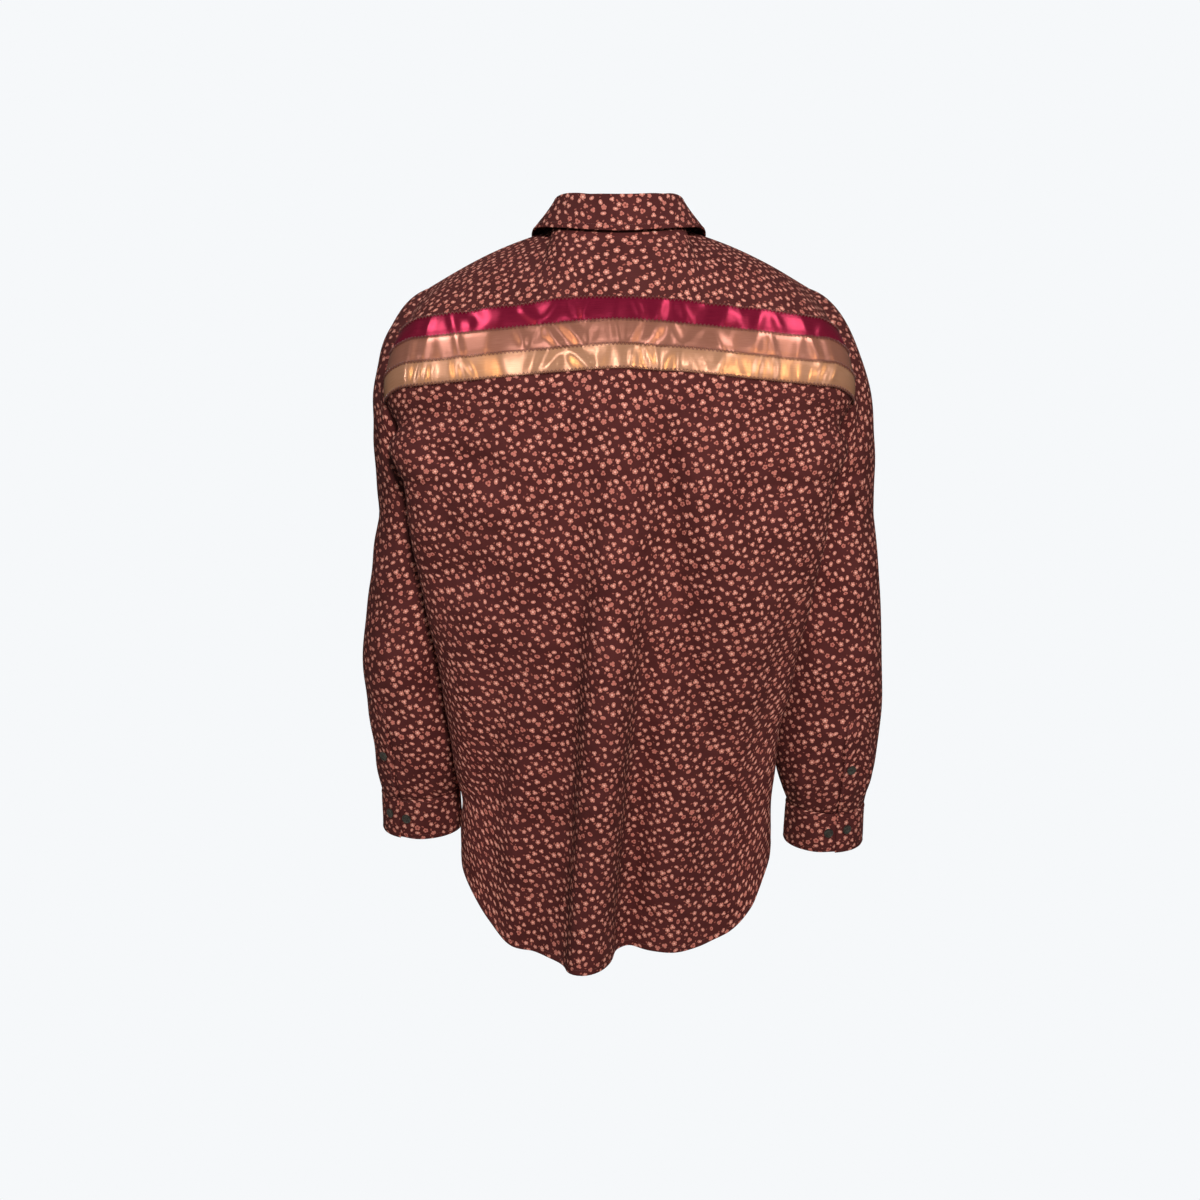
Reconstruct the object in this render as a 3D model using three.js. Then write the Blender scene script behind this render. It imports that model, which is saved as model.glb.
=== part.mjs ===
// Ribbon shirt: a long-sleeved button-front shirt with three satin ribbons across the upper
// back, held open in its worn shape. Millimetres, +Z up, the front faces -Y, the wearer's left
// is +X. The origin is the middle of the neck opening, at the height of the shoulder points.
// Every cloth piece is a thin wall: a grid of points on its outer face, moved in along shared
// normals, so pieces that meet at a seam meet edge to edge with a small gap.

import * as THREE from 'three';
import { mergeVertices } from 'three/addons/utils/BufferGeometryUtils.js';

// ---- driving sizes -----------------------------------------------------------------------

const CLOTH = 1.5;             // wall of one layer of shirting
const CUFF_WALL = 2.4;         // folded and interlined cuffs and collar
const RIBBON_WALL = 1.0;
const SEAM_GAP = 0.3;          // between two pieces at a seam
const LIFT = 0.4;              // between a piece and what is sewn on top of it

const RIBBONS_ABOVE_SEAM = 38; // top edge of the upper ribbon, above the yoke seam
const RIBBON_DROP = 36;        // the ribbons' lower edge, below the yoke seam
const RIBBON_FALL = 0.24;      // row shares at which the ribbons' outer edges lie
const RIBBON_RISE = 0.32;
const YOKE_SEAM_HEIGHT = -101; // back yoke seam at centre back
const YOKE_SEAM_DROP = 26;     // how far the seam sinks towards the armholes
const YOKE_SEAM_BEND = 0.2;    // roundness of that line at the centre
const YOKE_END_DROP = 14;      // and again over the last stretch

const NECK = { halfWidth: 71, midY: -6, halfDepth: 64, lift: -14, tilt: 30, sag: -14 };
const SHOULDER_SHARE = 0.34;   // share of a half panel's columns that end on the neckline
const FRONT_SEAM_TURN = 122;   // degrees round the neckline from centre back to the front yoke seam
const ARMPIT_HEIGHT = -255;
const FRONT_OVERLAP = 16;      // each front passes the centre by this much

const STAND_HEIGHT = 28;
const STAND_CLEARANCE = 0.5;
const COLLAR_DIP = 5;          // the collar's fold lies this much lower at the sides and front
const BUTTON = { radius: 5.5, height: 2.4 };
const FRONT_BUTTONS = 6;
const BUTTON_SPACING = 92;

// Level cross-sections of the body. The back corner is where the cloth turns forward behind
// the arm; the side is where it passes inside the arm; the same at the front.
const BODY = [
  { z: -60, backY: 90, backW: 214, backCornerY: 28, sideW: 190, sideY: 0, frontW: 196, frontCornerY: -40, frontY: -80 },
  { z: -100, backY: 113, backW: 230, backCornerY: 42, sideW: 190, sideY: 0, frontW: 200, frontCornerY: -60, frontY: -105 },
  { z: -140, backY: 126, backW: 240, backCornerY: 52, sideW: 190, sideY: 0, frontW: 202, frontCornerY: -72, frontY: -128 },
  { z: -190, backY: 132, backW: 235, backCornerY: 60, sideW: 189, sideY: 2, frontW: 200, frontCornerY: -80, frontY: -146 },
  { z: -255, backY: 133.5, backW: 226, backCornerY: 70, sideW: 186, sideY: 5, frontW: 193, frontCornerY: -88, frontY: -158 },
  { z: -300, backY: 132, backW: 221, backCornerY: 74, sideW: 181, sideY: 8, frontW: 189, frontCornerY: -92, frontY: -162 },
  { z: -353, backY: 129, backW: 214, backCornerY: 72, sideW: 178, sideY: 8, frontW: 186, frontCornerY: -92, frontY: -163 },
  { z: -455, backY: 118, backW: 197, backCornerY: 62, sideW: 172, sideY: 4, frontW: 180, frontCornerY: -90, frontY: -160 },
  { z: -545, backY: 105, backW: 182, backCornerY: 52, sideW: 168, sideY: 0, frontW: 175, frontCornerY: -88, frontY: -157 },
  { z: -620, backY: 97, backW: 174, backCornerY: 45, sideW: 166, sideY: -4, frontW: 173, frontCornerY: -88, frontY: -157 },
  { z: -700, backY: 91, backW: 175, backCornerY: 42, sideW: 169, sideY: -6, frontW: 173, frontCornerY: -90, frontY: -160 },
  { z: -820, backY: 86, backW: 179, backCornerY: 40, sideW: 173, sideY: -8, frontW: 175, frontCornerY: -92, frontY: -164 },
];
const SQUARENESS = 2.5;        // of the rounded back and front between the corners

// The armhole seam, from the shoulder point down the back to the armpit and up the front.
const ARMHOLE = [
  { x: 203, y: -8, z: -60 },
  { x: 210, y: 16, z: -70 },
  { x: 221, y: 36, z: -92 },
  { x: 233, y: 48, z: -117 },
  { x: 240, y: 54, z: -140 },
  { x: 245, y: 57, z: -168 },
  { x: 239, y: 50, z: -191 },
  { x: 223, y: 36, z: -216 },
  { x: 204, y: 17, z: -241 },
  { x: 189, y: -3, z: -255 },
  { x: 199, y: -30, z: -243 },
  { x: 206, y: -52, z: -216 },
  { x: 210, y: -64, z: -182 },
  { x: 210, y: -64, z: -146 },
  { x: 208, y: -54, z: -112 },
  { x: 205, y: -38, z: -82 },
];
const ARMHOLE_ROW = { shoulder: 0, backSeam: 4, armpit: 9, frontSeam: 15 };

// The long soft fold that falls from between the shoulder blades to the hem.
const BACK_FOLD = [
  { z: -240, x: 4, height: 0, width: 110 },
  { z: -330, x: 6, height: 6, width: 110 },
  { z: -455, x: 18, height: 18, width: 104 },
  { z: -545, x: 28, height: 27, width: 100 },
  { z: -640, x: 34, height: 32, width: 98 },
  { z: -820, x: 52, height: 46, width: 104 },
];
// Two shallower ones down the fronts.
const FRONT_FOLD = [
  { z: -240, x: 96, height: 0, width: 110 },
  { z: -455, x: 98, height: 8, width: 100 },
  { z: -640, x: 100, height: 18, width: 92 },
  { z: -820, x: 102, height: 24, width: 90 },
];

// Hem height against the share of the way from the centre to the side seam.
const BACK_HEM = [
  { share: 0, z: -791 }, { share: 0.35, z: -792 }, { share: 0.5, z: -782 },
  { share: 0.62, z: -752 }, { share: 0.74, z: -704 }, { share: 0.87, z: -672 }, { share: 1, z: -664 },
];
const FRONT_HEM = [
  { share: 0, z: -752 }, { share: 0.35, z: -752 }, { share: 0.5, z: -742 },
  { share: 0.62, z: -716 }, { share: 0.76, z: -684 }, { share: 0.88, z: -668 }, { share: 1, z: -664 },
];
const HEM_TILT = 8;            // the wearer's left hangs this much lower than the right

// Level rings of each sleeve, from just under the armpit to the cuff seam.
const SLEEVE_LEFT = [
  { z: -306, x: 229, y: -22, outer: 40, inner: 41, depth: 62 },
  { z: -372, x: 231, y: -16, outer: 47, inner: 46, depth: 64 },
  { z: -455, x: 237, y: -4, outer: 53, inner: 52, depth: 62 },
  { z: -530, x: 236, y: -3, outer: 50, inner: 54, depth: 58 },
  { z: -590, x: 234, y: -8, outer: 47, inner: 55, depth: 53 },
  { z: -620, x: 232, y: -12, outer: 46, inner: 50, depth: 48 },
  { z: -633, x: 231, y: -14, outer: 45, inner: 45, depth: 43 },
];
const SLEEVE_RIGHT = [
  { z: -306, x: 237, y: -22, outer: 50, inner: 49, depth: 62 },
  { z: -372, x: 241, y: -16, outer: 54, inner: 56, depth: 64 },
  { z: -455, x: 245, y: -4, outer: 55, inner: 60, depth: 62 },
  { z: -530, x: 246, y: -3, outer: 57, inner: 64, depth: 58 },
  { z: -595, x: 247, y: -8, outer: 53, inner: 62, depth: 54 },
  { z: -635, x: 247, y: -12, outer: 46, inner: 52, depth: 48 },
  { z: -650, x: 247, y: -14, outer: 44, inner: 46, depth: 43 },
];
// How the sleeve leaves the armhole: direction and reach at points round the seam, in degrees
// from the shoulder point through the back.
const CAP_FLOW = [
  { turn: 0, out: 0.92, back: 0, down: 0.38, reach: 255 },
  { turn: 50, out: 0.86, back: -0.25, down: 0.44, reach: 205 },
  { turn: 100, out: 0.5, back: -0.4, down: 0.77, reach: 95 },
  { turn: 150, out: 0.42, back: -0.2, down: 0.88, reach: 52 },
  { turn: 180, out: 0.42, back: 0, down: 0.91, reach: 42 },
  { turn: 210, out: 0.42, back: 0.2, down: 0.88, reach: 52 },
  { turn: 260, out: 0.5, back: 0.35, down: 0.79, reach: 95 },
  { turn: 310, out: 0.8, back: 0.25, down: 0.54, reach: 160 },
  { turn: 360, out: 0.92, back: 0, down: 0.38, reach: 255 },
];
const CUFF = { length: 50, flare: 1, overlapTurn: 32, lean: 6 };
// The cuff's buttons, one near the free edge and one uncovered beside it: columns of the
// band and the share of the way across and down there.
const CUFF_BUTTON = { column: 27, across: 0.85, down: 0.5 };
const SPARE_BUTTON = { column: 3, across: 0.2, down: 0.6 };
const PLACKET = { length: 150, columns: 2 };
const PLACKET_BUTTON = { column: 1, across: 0.5, down: 0.05 };
const SLIT_COLUMN = 4;         // the sleeve column that the cuff opening follows
const SLIT_TURN = { left: 63, right: 82 };   // degrees from the outer side towards the back

// ---- small helpers -----------------------------------------------------------------------

const point = (x, y, z) => new THREE.Vector3(x, y, z);
const radians = THREE.MathUtils.degToRad;
const smooth = (value) => THREE.MathUtils.smoothstep(value, 0, 1);
const mix = (a, b, share) => a.clone().lerp(b, share);
const range = (count) => Array.from({ length: count }, (_, index) => index);

// A row of a table at any value of its leading column, along a smooth curve through its rows.
function readTable(table, key, value) {
  const ascending = table[1][key] > table[0][key];
  const passed = (row) => (ascending ? row[key] <= value : row[key] >= value);
  let low = 0;
  while (low < table.length - 2 && passed(table[low + 1])) low += 1;
  const [before, from, to, after] = [low - 1, low, low + 1, low + 2]
    .map((row) => table[THREE.MathUtils.clamp(row, 0, table.length - 1)]);
  const step = to[key] - from[key];
  const share = THREE.MathUtils.clamp((value - from[key]) / step, 0, 1);
  const result = {};
  for (const column of Object.keys(from)) {
    const slopeIn = (to[column] - before[column]) / (to[key] - before[key]) * step;
    const slopeOut = (after[column] - from[column]) / (after[key] - from[key]) * step;
    result[column] = hermiteValue(from[column], to[column], slopeIn, slopeOut, share);
  }
  return result;
}

function hermiteValue(start, end, slopeIn, slopeOut, t) {
  const t2 = t * t;
  const t3 = t2 * t;
  return (2 * t3 - 3 * t2 + 1) * start + (t3 - 2 * t2 + t) * slopeIn
    + (3 * t2 - 2 * t3) * end + (t3 - t2) * slopeOut;
}

function hermitePoint(start, end, flowIn, flowOut, t) {
  return point(
    hermiteValue(start.x, end.x, flowIn.x, flowOut.x, t),
    hermiteValue(start.y, end.y, flowIn.y, flowOut.y, t),
    hermiteValue(start.z, end.z, flowIn.z, flowOut.z, t),
  );
}

// The point at a share of the length of a polyline.
function alongLine(line, share) {
  const lengths = [0];
  for (let i = 1; i < line.length; i += 1) lengths.push(lengths[i - 1] + line[i].distanceTo(line[i - 1]));
  const target = lengths[line.length - 1] * THREE.MathUtils.clamp(share, 0, 1);
  let i = 1;
  while (i < line.length - 1 && lengths[i] < target) i += 1;
  return mix(line[i - 1], line[i], (target - lengths[i - 1]) / (lengths[i] - lengths[i - 1]));
}

// ---- the body's surface ------------------------------------------------------------------

const ARMHOLE_CURVE = new THREE.CatmullRomCurve3(
  ARMHOLE.map((row) => point(row.x, row.y, row.z)), true, 'centripetal');

// Armhole stretches between two rows of its table, as fine polylines.
function armholeLine(fromRow, toRow) {
  const steps = 48;
  return range(steps + 1).map((i) => {
    const row = fromRow + (toRow - fromRow) * i / steps;
    return ARMHOLE_CURVE.getPoint((row / ARMHOLE.length) % 1);
  });
}

const ARMHOLE_LINES = {
  yokeBack: armholeLine(ARMHOLE_ROW.backSeam, ARMHOLE_ROW.shoulder),
  yokeFront: armholeLine(ARMHOLE.length, ARMHOLE_ROW.frontSeam),
  back: armholeLine(ARMHOLE_ROW.backSeam, ARMHOLE_ROW.armpit),
  front: armholeLine(ARMHOLE_ROW.frontSeam, ARMHOLE_ROW.armpit),
};

// Point at a share of a stretch's length, on the wearer's left or (side = -1) right.
function armholePoint(stretch, share, side = 1) {
  const found = alongLine(ARMHOLE_LINES[stretch], share);
  found.x *= side;
  return found;
}

// Point of the back stretch at a height.
function armholeAtHeight(z) {
  const line = ARMHOLE_LINES.back;
  let i = 1;
  while (i < line.length - 1 && line[i].z > z) i += 1;
  const share = THREE.MathUtils.clamp((line[i - 1].z - z) / (line[i - 1].z - line[i].z), 0, 1);
  return mix(line[i - 1], line[i], share);
}

// Half a level section, from the centre (0) over the corner (1) to the side seam (2).
function sectionPoint(row, facing, p) {
  const back = facing === 'back';
  const centreY = back ? row.backY : row.frontY;
  const cornerX = back ? row.backW : row.frontW;
  const cornerY = back ? row.backCornerY : row.frontCornerY;
  if (p <= 1) {
    const turn = p * Math.PI / 2;
    const x = cornerX * Math.sin(turn) ** (2 / SQUARENESS);
    const reach = Math.max(0, Math.cos(turn)) ** (2 / SQUARENESS);
    return point(x, cornerY + (centreY - cornerY) * reach, row.z);
  }
  const q = p - 1;
  const inward = smooth(Math.min(1, q * 1.25));
  return point(cornerX + (row.sideW - cornerX) * inward, cornerY + (row.sideY - cornerY) * q, row.z);
}

// Body point at a height and a share (-1 right side seam, 0 centre, 1 left side seam).
function bodyPoint(z, share, facing, reach = 2) {
  const row = readTable(BODY, 'z', z);
  row.z = z;
  const steps = 40;
  const line = range(steps + 1).map((i) => sectionPoint(row, facing, reach * i / steps));
  const found = alongLine(line, Math.abs(share));
  found.x *= Math.sign(share) || 1;
  return found;
}

function foldHeight(table, x, z) {
  if (z > table[0].z) return 0;
  const fold = readTable(table, 'z', z);
  const away = Math.min(1, Math.abs(x - fold.x) / (fold.width / 2));
  return fold.height * (1 + Math.cos(Math.PI * away)) / 2;
}

function withFolds(at, facing) {
  if (facing === 'back') at.y += foldHeight(BACK_FOLD, at.x, at.z);
  else at.y -= foldHeight(FRONT_FOLD, Math.abs(at.x), at.z);
  return at;
}

// Below the armpit, the body runs down to a curved shirt-tail hem.
function lowerPoint(share, fall, facing, side = 1) {
  const hem = readTable(facing === 'back' ? BACK_HEM : FRONT_HEM, 'share', Math.abs(share)).z;
  const tilt = -HEM_TILT * share * fall * side;
  const z = ARMPIT_HEIGHT + (hem - ARMPIT_HEIGHT) * fall + tilt;
  return withFolds(bodyPoint(z, share, facing), facing);
}

function yokeSeamHeight(share) {
  const away = Math.abs(share);
  const bend = Math.hypot(away, YOKE_SEAM_BEND) - YOKE_SEAM_BEND;
  const fullBend = Math.hypot(1, YOKE_SEAM_BEND) - YOKE_SEAM_BEND;
  return YOKE_SEAM_HEIGHT - YOKE_SEAM_DROP * bend / fullBend
    - YOKE_END_DROP * smooth((away - 0.8) / 0.2);
}

// Height of a column between the back yoke seam (fall 0) and the armpit (fall 1). Down to
// RIBBON_FALL the columns drop alike, so that the ribbons keep their width.
function upperBackHeight(share, fall) {
  const ribbonFoot = yokeSeamHeight(share) - RIBBON_DROP * Math.min(1, fall / RIBBON_FALL);
  const rest = Math.max(0, (fall - RIBBON_FALL) / (1 - RIBBON_FALL));
  return ribbonFoot + (ARMPIT_HEIGHT - ribbonFoot) * rest;
}

function upperBackPoint(share, fall) {
  const reach = 1 + smooth((fall - 0.4) / 0.6);
  const edgeHeight = upperBackHeight(1, fall);
  const slip = armholeAtHeight(edgeHeight).sub(bodyPoint(edgeHeight, 1, 'back', reach));
  slip.multiplyScalar(Math.abs(share) ** 3);
  slip.x *= Math.sign(share) || 1;
  return bodyPoint(upperBackHeight(share, fall), share, 'back', reach).add(slip);
}

// Neckline, by degrees round from centre back towards the wearer's left.
function necklinePoint(turn) {
  const angle = radians(turn);
  return point(
    NECK.halfWidth * Math.sin(angle),
    NECK.midY + NECK.halfDepth * Math.cos(angle),
    NECK.lift + NECK.tilt * Math.cos(angle) + NECK.sag * Math.cos(2 * angle),
  );
}

// The line over the top: the back neckline in the middle and the shoulder line beyond it.
function shoulderLinePoint(share) {
  const away = Math.abs(share);
  const side = Math.sign(share) || 1;
  if (away <= SHOULDER_SHARE) return necklinePoint(90 * share / SHOULDER_SHARE);
  const along = (away - SHOULDER_SHARE) / (1 - SHOULDER_SHARE);
  const found = mix(necklinePoint(90), armholePoint('yokeFront', 0), along);
  found.z += 6 * Math.sin(Math.PI * along);
  found.x *= side;
  return found;
}

// A plain curve up from the back seam to the shoulder line.
function yokeArch(share, rise) {
  const low = upperBackPoint(share, 0);
  const high = shoulderLinePoint(share);
  const reach = low.distanceTo(high);
  const level = smooth(Math.abs(share) / SHOULDER_SHARE);
  const flowIn = point(0, -0.36, 0.93).multiplyScalar(reach);
  const flowOut = point(0, -0.51 - 0.45 * level, 0.86 - 0.74 * level).multiplyScalar(reach);
  return hermitePoint(low, high, flowIn, flowOut, rise);
}

// Yoke from the back seam (rise 0) to the shoulder line (rise 1). Up to RIBBON_RISE the
// columns climb alike, and the outer ones are drawn to the armhole curve.
function yokeBackPoint(share, rise) {
  const side = Math.sign(share) || 1;
  const away = Math.abs(share);
  const height = upperBackPoint(share, 0).distanceTo(shoulderLinePoint(share)) * 1.04;
  const ribbonShare = RIBBONS_ABOVE_SEAM / height;
  const rest = Math.max(0, (rise - RIBBON_RISE) / (1 - RIBBON_RISE));
  const climbed = ribbonShare * Math.min(1, rise / RIBBON_RISE) + (1 - ribbonShare) * rest;
  const edge = armholePoint('yokeBack', climbed, side);
  if (away >= 0.999) return edge;
  const pull = Math.max(0, (away - SHOULDER_SHARE) / (1 - SHOULDER_SHARE)) ** 2;
  return yokeArch(share, climbed).add(edge.sub(yokeArch(side, climbed)).multiplyScalar(pull));
}

// The yoke's front edge, from the neckline to the armhole.
function frontSeamPoint(share) {
  const along = (Math.abs(share) - SHOULDER_SHARE) / (1 - SHOULDER_SHARE);
  const found = mix(necklinePoint(FRONT_SEAM_TURN), armholePoint('front', 0), along);
  found.z += 5 * Math.sin(Math.PI * along);
  found.x *= Math.sign(share);
  return found;
}

// Yoke from the shoulder line (fall 0) to its front seam (fall 1).
function yokeFrontPoint(share, fall) {
  const away = Math.abs(share);
  const side = Math.sign(share);
  if (away >= 0.999) return armholePoint('yokeFront', fall, side);
  if (away <= SHOULDER_SHARE + 0.001) {
    const found = necklinePoint(90 + (FRONT_SEAM_TURN - 90) * fall);
    found.x *= side;
    return found;
  }
  const high = shoulderLinePoint(share);
  const low = frontSeamPoint(share);
  const reach = high.distanceTo(low);
  return hermitePoint(high, low, point(0, -reach, -0.1 * reach), point(0, -0.8 * reach, -0.6 * reach), fall);
}

// Left half of the fronts above the armpit; a share below 0 is the overlap past the centre.
function upperFrontPoint(share, fall) {
  if (share >= 0.999) return armholePoint('front', fall);
  const low = withFolds(bodyPoint(ARMPIT_HEIGHT, share, 'front'), 'front');
  const onNeckline = share < SHOULDER_SHARE;
  const turn = 180 + (FRONT_SEAM_TURN - 180) * share / SHOULDER_SHARE;
  const high = onNeckline ? necklinePoint(turn) : frontSeamPoint(share);
  const reach = high.distanceTo(low);
  const edgePull = Math.max(0, share) ** 3;
  const flowIn = point(0, -0.7, -0.7).multiplyScalar(reach);
  const flowOut = point(0, -0.05, -1).multiplyScalar(reach);
  const found = hermitePoint(high, low, flowIn, flowOut, fall);
  const plain = hermitePoint(frontSeamPoint(1), bodyPoint(ARMPIT_HEIGHT, 1, 'front'), flowIn, flowOut, fall);
  return found.add(armholePoint('front', fall).sub(plain).multiplyScalar(edgePull));
}

// ---- cloth walls -------------------------------------------------------------------------

const keyOf = (at) => `${at.x.toFixed(3)},${at.y.toFixed(3)},${at.z.toFixed(3)}`;
const sharedNormals = new Map();

// A sheet is a list of grids: rows run down the garment, columns run round it to the left
// seen from above, so that their faces point out. A mirrored grid runs the other way.
class Sheet {
  constructor(name, material, grids, { mirrored = false, wall = CLOTH, lift = 0 } = {}) {
    Object.assign(this, { name, material, grids, mirrored, wall, lift });
  }

  faces() {
    const list = [];
    for (const grid of this.grids) {
      for (let i = 0; i < grid.length - 1; i += 1) {
        for (let j = 0; j < grid[0].length - 1; j += 1) {
          const corners = [grid[i][j], grid[i + 1][j], grid[i + 1][j + 1], grid[i][j + 1]];
          list.push(this.mirrored ? corners.reverse() : corners);
        }
      }
    }
    return list;
  }

  // Adds this sheet's faces to the normals that touching sheets share.
  share() {
    for (const [a, b, c, d] of this.faces()) {
      const normal = c.clone().sub(a).cross(d.clone().sub(b));
      for (const corner of new Set([a, b, c, d])) {
        const key = keyOf(corner);
        if (!sharedNormals.has(key)) sharedNormals.set(key, point(0, 0, 0));
        sharedNormals.get(key).add(normal);
      }
    }
    return this;
  }
}

function normalAt(at) {
  return sharedNormals.get(keyOf(at)).clone().normalize();
}

// Closes a sheet into a wall, drawn back from its edges by half a seam gap.
function wallGeometry(sheet) {
  const outer = [];
  const index = new Map();
  const vertexOf = (at) => {
    const key = keyOf(at);
    if (!index.has(key)) {
      index.set(key, outer.length);
      outer.push({ at: at.clone(), normal: normalAt(at), pull: point(0, 0, 0) });
    }
    return index.get(key);
  };
  const triangles = [];
  for (const corners of sheet.faces()) {
    const [a, b, c, d] = corners.map(vertexOf);
    for (const triangle of [[a, b, c], [a, c, d]]) {
      if (new Set(triangle).size === 3) triangles.push(triangle);
    }
  }
  const directed = new Set(triangles.flatMap(([a, b, c]) => [`${a},${b}`, `${b},${c}`, `${c},${a}`]));
  const rim = [...directed].map((edge) => edge.split(',').map(Number))
    .filter(([a, b]) => !directed.has(`${b},${a}`));
  for (const [a, b] of rim) {
    const along = outer[b].at.clone().sub(outer[a].at).normalize();
    for (const end of [a, b]) outer[end].pull.add(outer[end].normal.clone().cross(along).normalize());
  }
  const count = outer.length;
  const positions = new Float32Array(count * 6);
  outer.forEach(({ at, normal, pull }, row) => {
    const inward = pull.length() > 0.01 ? pull.normalize().multiplyScalar(SEAM_GAP / 2) : pull;
    const face = at.clone().add(inward).addScaledVector(normal, sheet.lift);
    face.toArray(positions, row * 3);
    face.addScaledVector(normal, -sheet.wall).toArray(positions, (row + count) * 3);
  });
  const faces = [];
  for (const [a, b, c] of triangles) faces.push(a, b, c, a + count, c + count, b + count);
  for (const [a, b] of rim) faces.push(b, a, a + count, b, a + count, b + count);
  const geometry = new THREE.BufferGeometry();
  geometry.setAttribute('position', new THREE.BufferAttribute(positions, 3));
  geometry.setIndex(faces);
  return geometry;
}

// ---- materials ---------------------------------------------------------------------------

const finish = (color, roughness, metalness = 0) =>
  new THREE.MeshStandardMaterial({ color, roughness, metalness, side: THREE.FrontSide });
const SHIRTING = finish(0x5a3436, 0.85);
const WINE = finish(0x8a1f45, 0.35);
const ROSE = finish(0xb87868, 0.35);
const GOLD = finish(0xd8a878, 0.35);
const HORN = finish(0x3a3f38, 0.4);

const shirt = new THREE.Group();
const panels = [];
function addPanel(name, material, grids, options) {
  const sheet = new Sheet(name, material, grids, options).share();
  panels.push(sheet);
  return sheet;
}

// ---- columns and rows of the body --------------------------------------------------------

// Columns stand closer over the back fold, which lies a little left of the centre.
const backColumnsOnShoulder = 6;
const shoulderColumns = range(backColumnsOnShoulder + 1)
  .map((i) => SHOULDER_SHARE + (1 - SHOULDER_SHARE) * i / backColumnsOnShoulder);
const middleColumns = range(15).map((i) => SHOULDER_SHARE * (i - 7) / 7);
const backColumns = [...shoulderColumns.slice(1).map((share) => -share).reverse(),
  ...middleColumns, ...shoulderColumns.slice(1)];
// Seen from above, round to the left means from the left side, over the back, to the right.
const acrossBack = backColumns.slice().reverse();

// Rows: the ribbons' edges fall on rows of the yoke and the back.
const ribbonStep = RIBBON_FALL / 3;
const backFalls = [0, ribbonStep, RIBBON_FALL, 0.43, 0.62, 0.81, 1];
const yokeRises = [1, 0.83, 0.66, 0.49, RIBBON_RISE, RIBBON_RISE / 3, 0];
const yokeFrontFalls = [1, 0.5, 0];
const lowerRows = 11;
const lowerFalls = range(lowerRows).map((i) => (i + 1) / lowerRows);
const frontFalls = range(6).map((i) => i / 5);

const yokeGrid = yokeRises.map((rise) => acrossBack.map((share) => yokeBackPoint(share, rise)));
const inwards = shoulderColumns.slice().reverse();
const yokeLeftGrid = yokeFrontFalls.map((fall) => inwards.map((share) => yokeFrontPoint(share, fall)));
const yokeRightGrid = yokeFrontFalls
  .map((fall) => shoulderColumns.map((share) => yokeFrontPoint(-share, fall)));
const backGrid = [
  ...backFalls.map((fall) => acrossBack.map((share) => upperBackPoint(share, fall))),
  ...lowerFalls.map((fall) => acrossBack.map((share) => lowerPoint(share, fall, 'back'))),
];

const neckColumns = range(5).map((i) => SHOULDER_SHARE * i / 5);
const overlapShare = FRONT_OVERLAP / 280;
const frontColumns = [-overlapShare, ...neckColumns, ...shoulderColumns];

// The fronts lie one on the other at the centre: the right one (side = -1) goes under.
function frontGrid(side) {
  const dip = CLOTH + LIFT + 0.2;
  const place = (at, share) => {
    if (side < 0) at.y += dip * (1 - smooth((share - overlapShare) / 0.12));
    at.x *= side;
    return at;
  };
  const rows = [
    ...frontFalls.map((fall) => (share) => upperFrontPoint(share, fall)),
    ...lowerFalls.map((fall) => (share) => lowerPoint(share, fall, 'front', side)),
  ];
  return rows.map((pointOf) => frontColumns.map((share) => place(pointOf(share), share)));
}

addPanel('yoke', SHIRTING, [yokeGrid, yokeLeftGrid, yokeRightGrid]);
addPanel('back', SHIRTING, [backGrid]);
addPanel('front_left', SHIRTING, [frontGrid(1)]);
addPanel('front_right', SHIRTING, [frontGrid(-1)], { mirrored: true });

// ---- sleeves -----------------------------------------------------------------------------

// Each sleeve starts on the armhole's own points: from the shoulder over the back to the
// armpit and up the front, with the yoke's and the panels' rows.
const seamLoop = [
  ...yokeGrid.map((row) => row[0]).slice(0, -1),
  ...backGrid.slice(0, backFalls.length).map((row) => row[0]).slice(0, -1),
  ...frontGrid(1).slice(1, frontFalls.length).map((row) => row[row.length - 1]).reverse(),
  ...yokeLeftGrid.map((row) => row[0]),
];
const seamTurns = (() => {
  const armpit = yokeRises.length - 1 + backFalls.length - 1;
  const lengths = [0];
  for (let i = 1; i < seamLoop.length; i += 1) {
    lengths.push(lengths[i - 1] + seamLoop[i].distanceTo(seamLoop[i - 1]));
  }
  const [half, all] = [lengths[armpit], lengths[lengths.length - 1]];
  return lengths.map((length, i) => (i <= armpit ? 180 * length / half : 180 + 180 * (length - half) / (all - half)));
})();

const SLEEVE_ROWS = { cap: 6, arm: 11 };

function sleeveRingPoint(row, turn, z = row.z) {
  const angle = radians(turn);
  const reach = Math.cos(angle) > 0 ? row.outer : row.inner;
  return point(row.x + reach * Math.cos(angle), row.y + row.depth * Math.sin(angle), z);
}

// Turns round the sleeve settle on even steps that put one column on the cuff opening.
function settledTurn(j, slitTurn) {
  const step = 360 / (seamTurns.length - 1);
  return slitTurn + (j - SLIT_COLUMN) * step;
}

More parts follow.
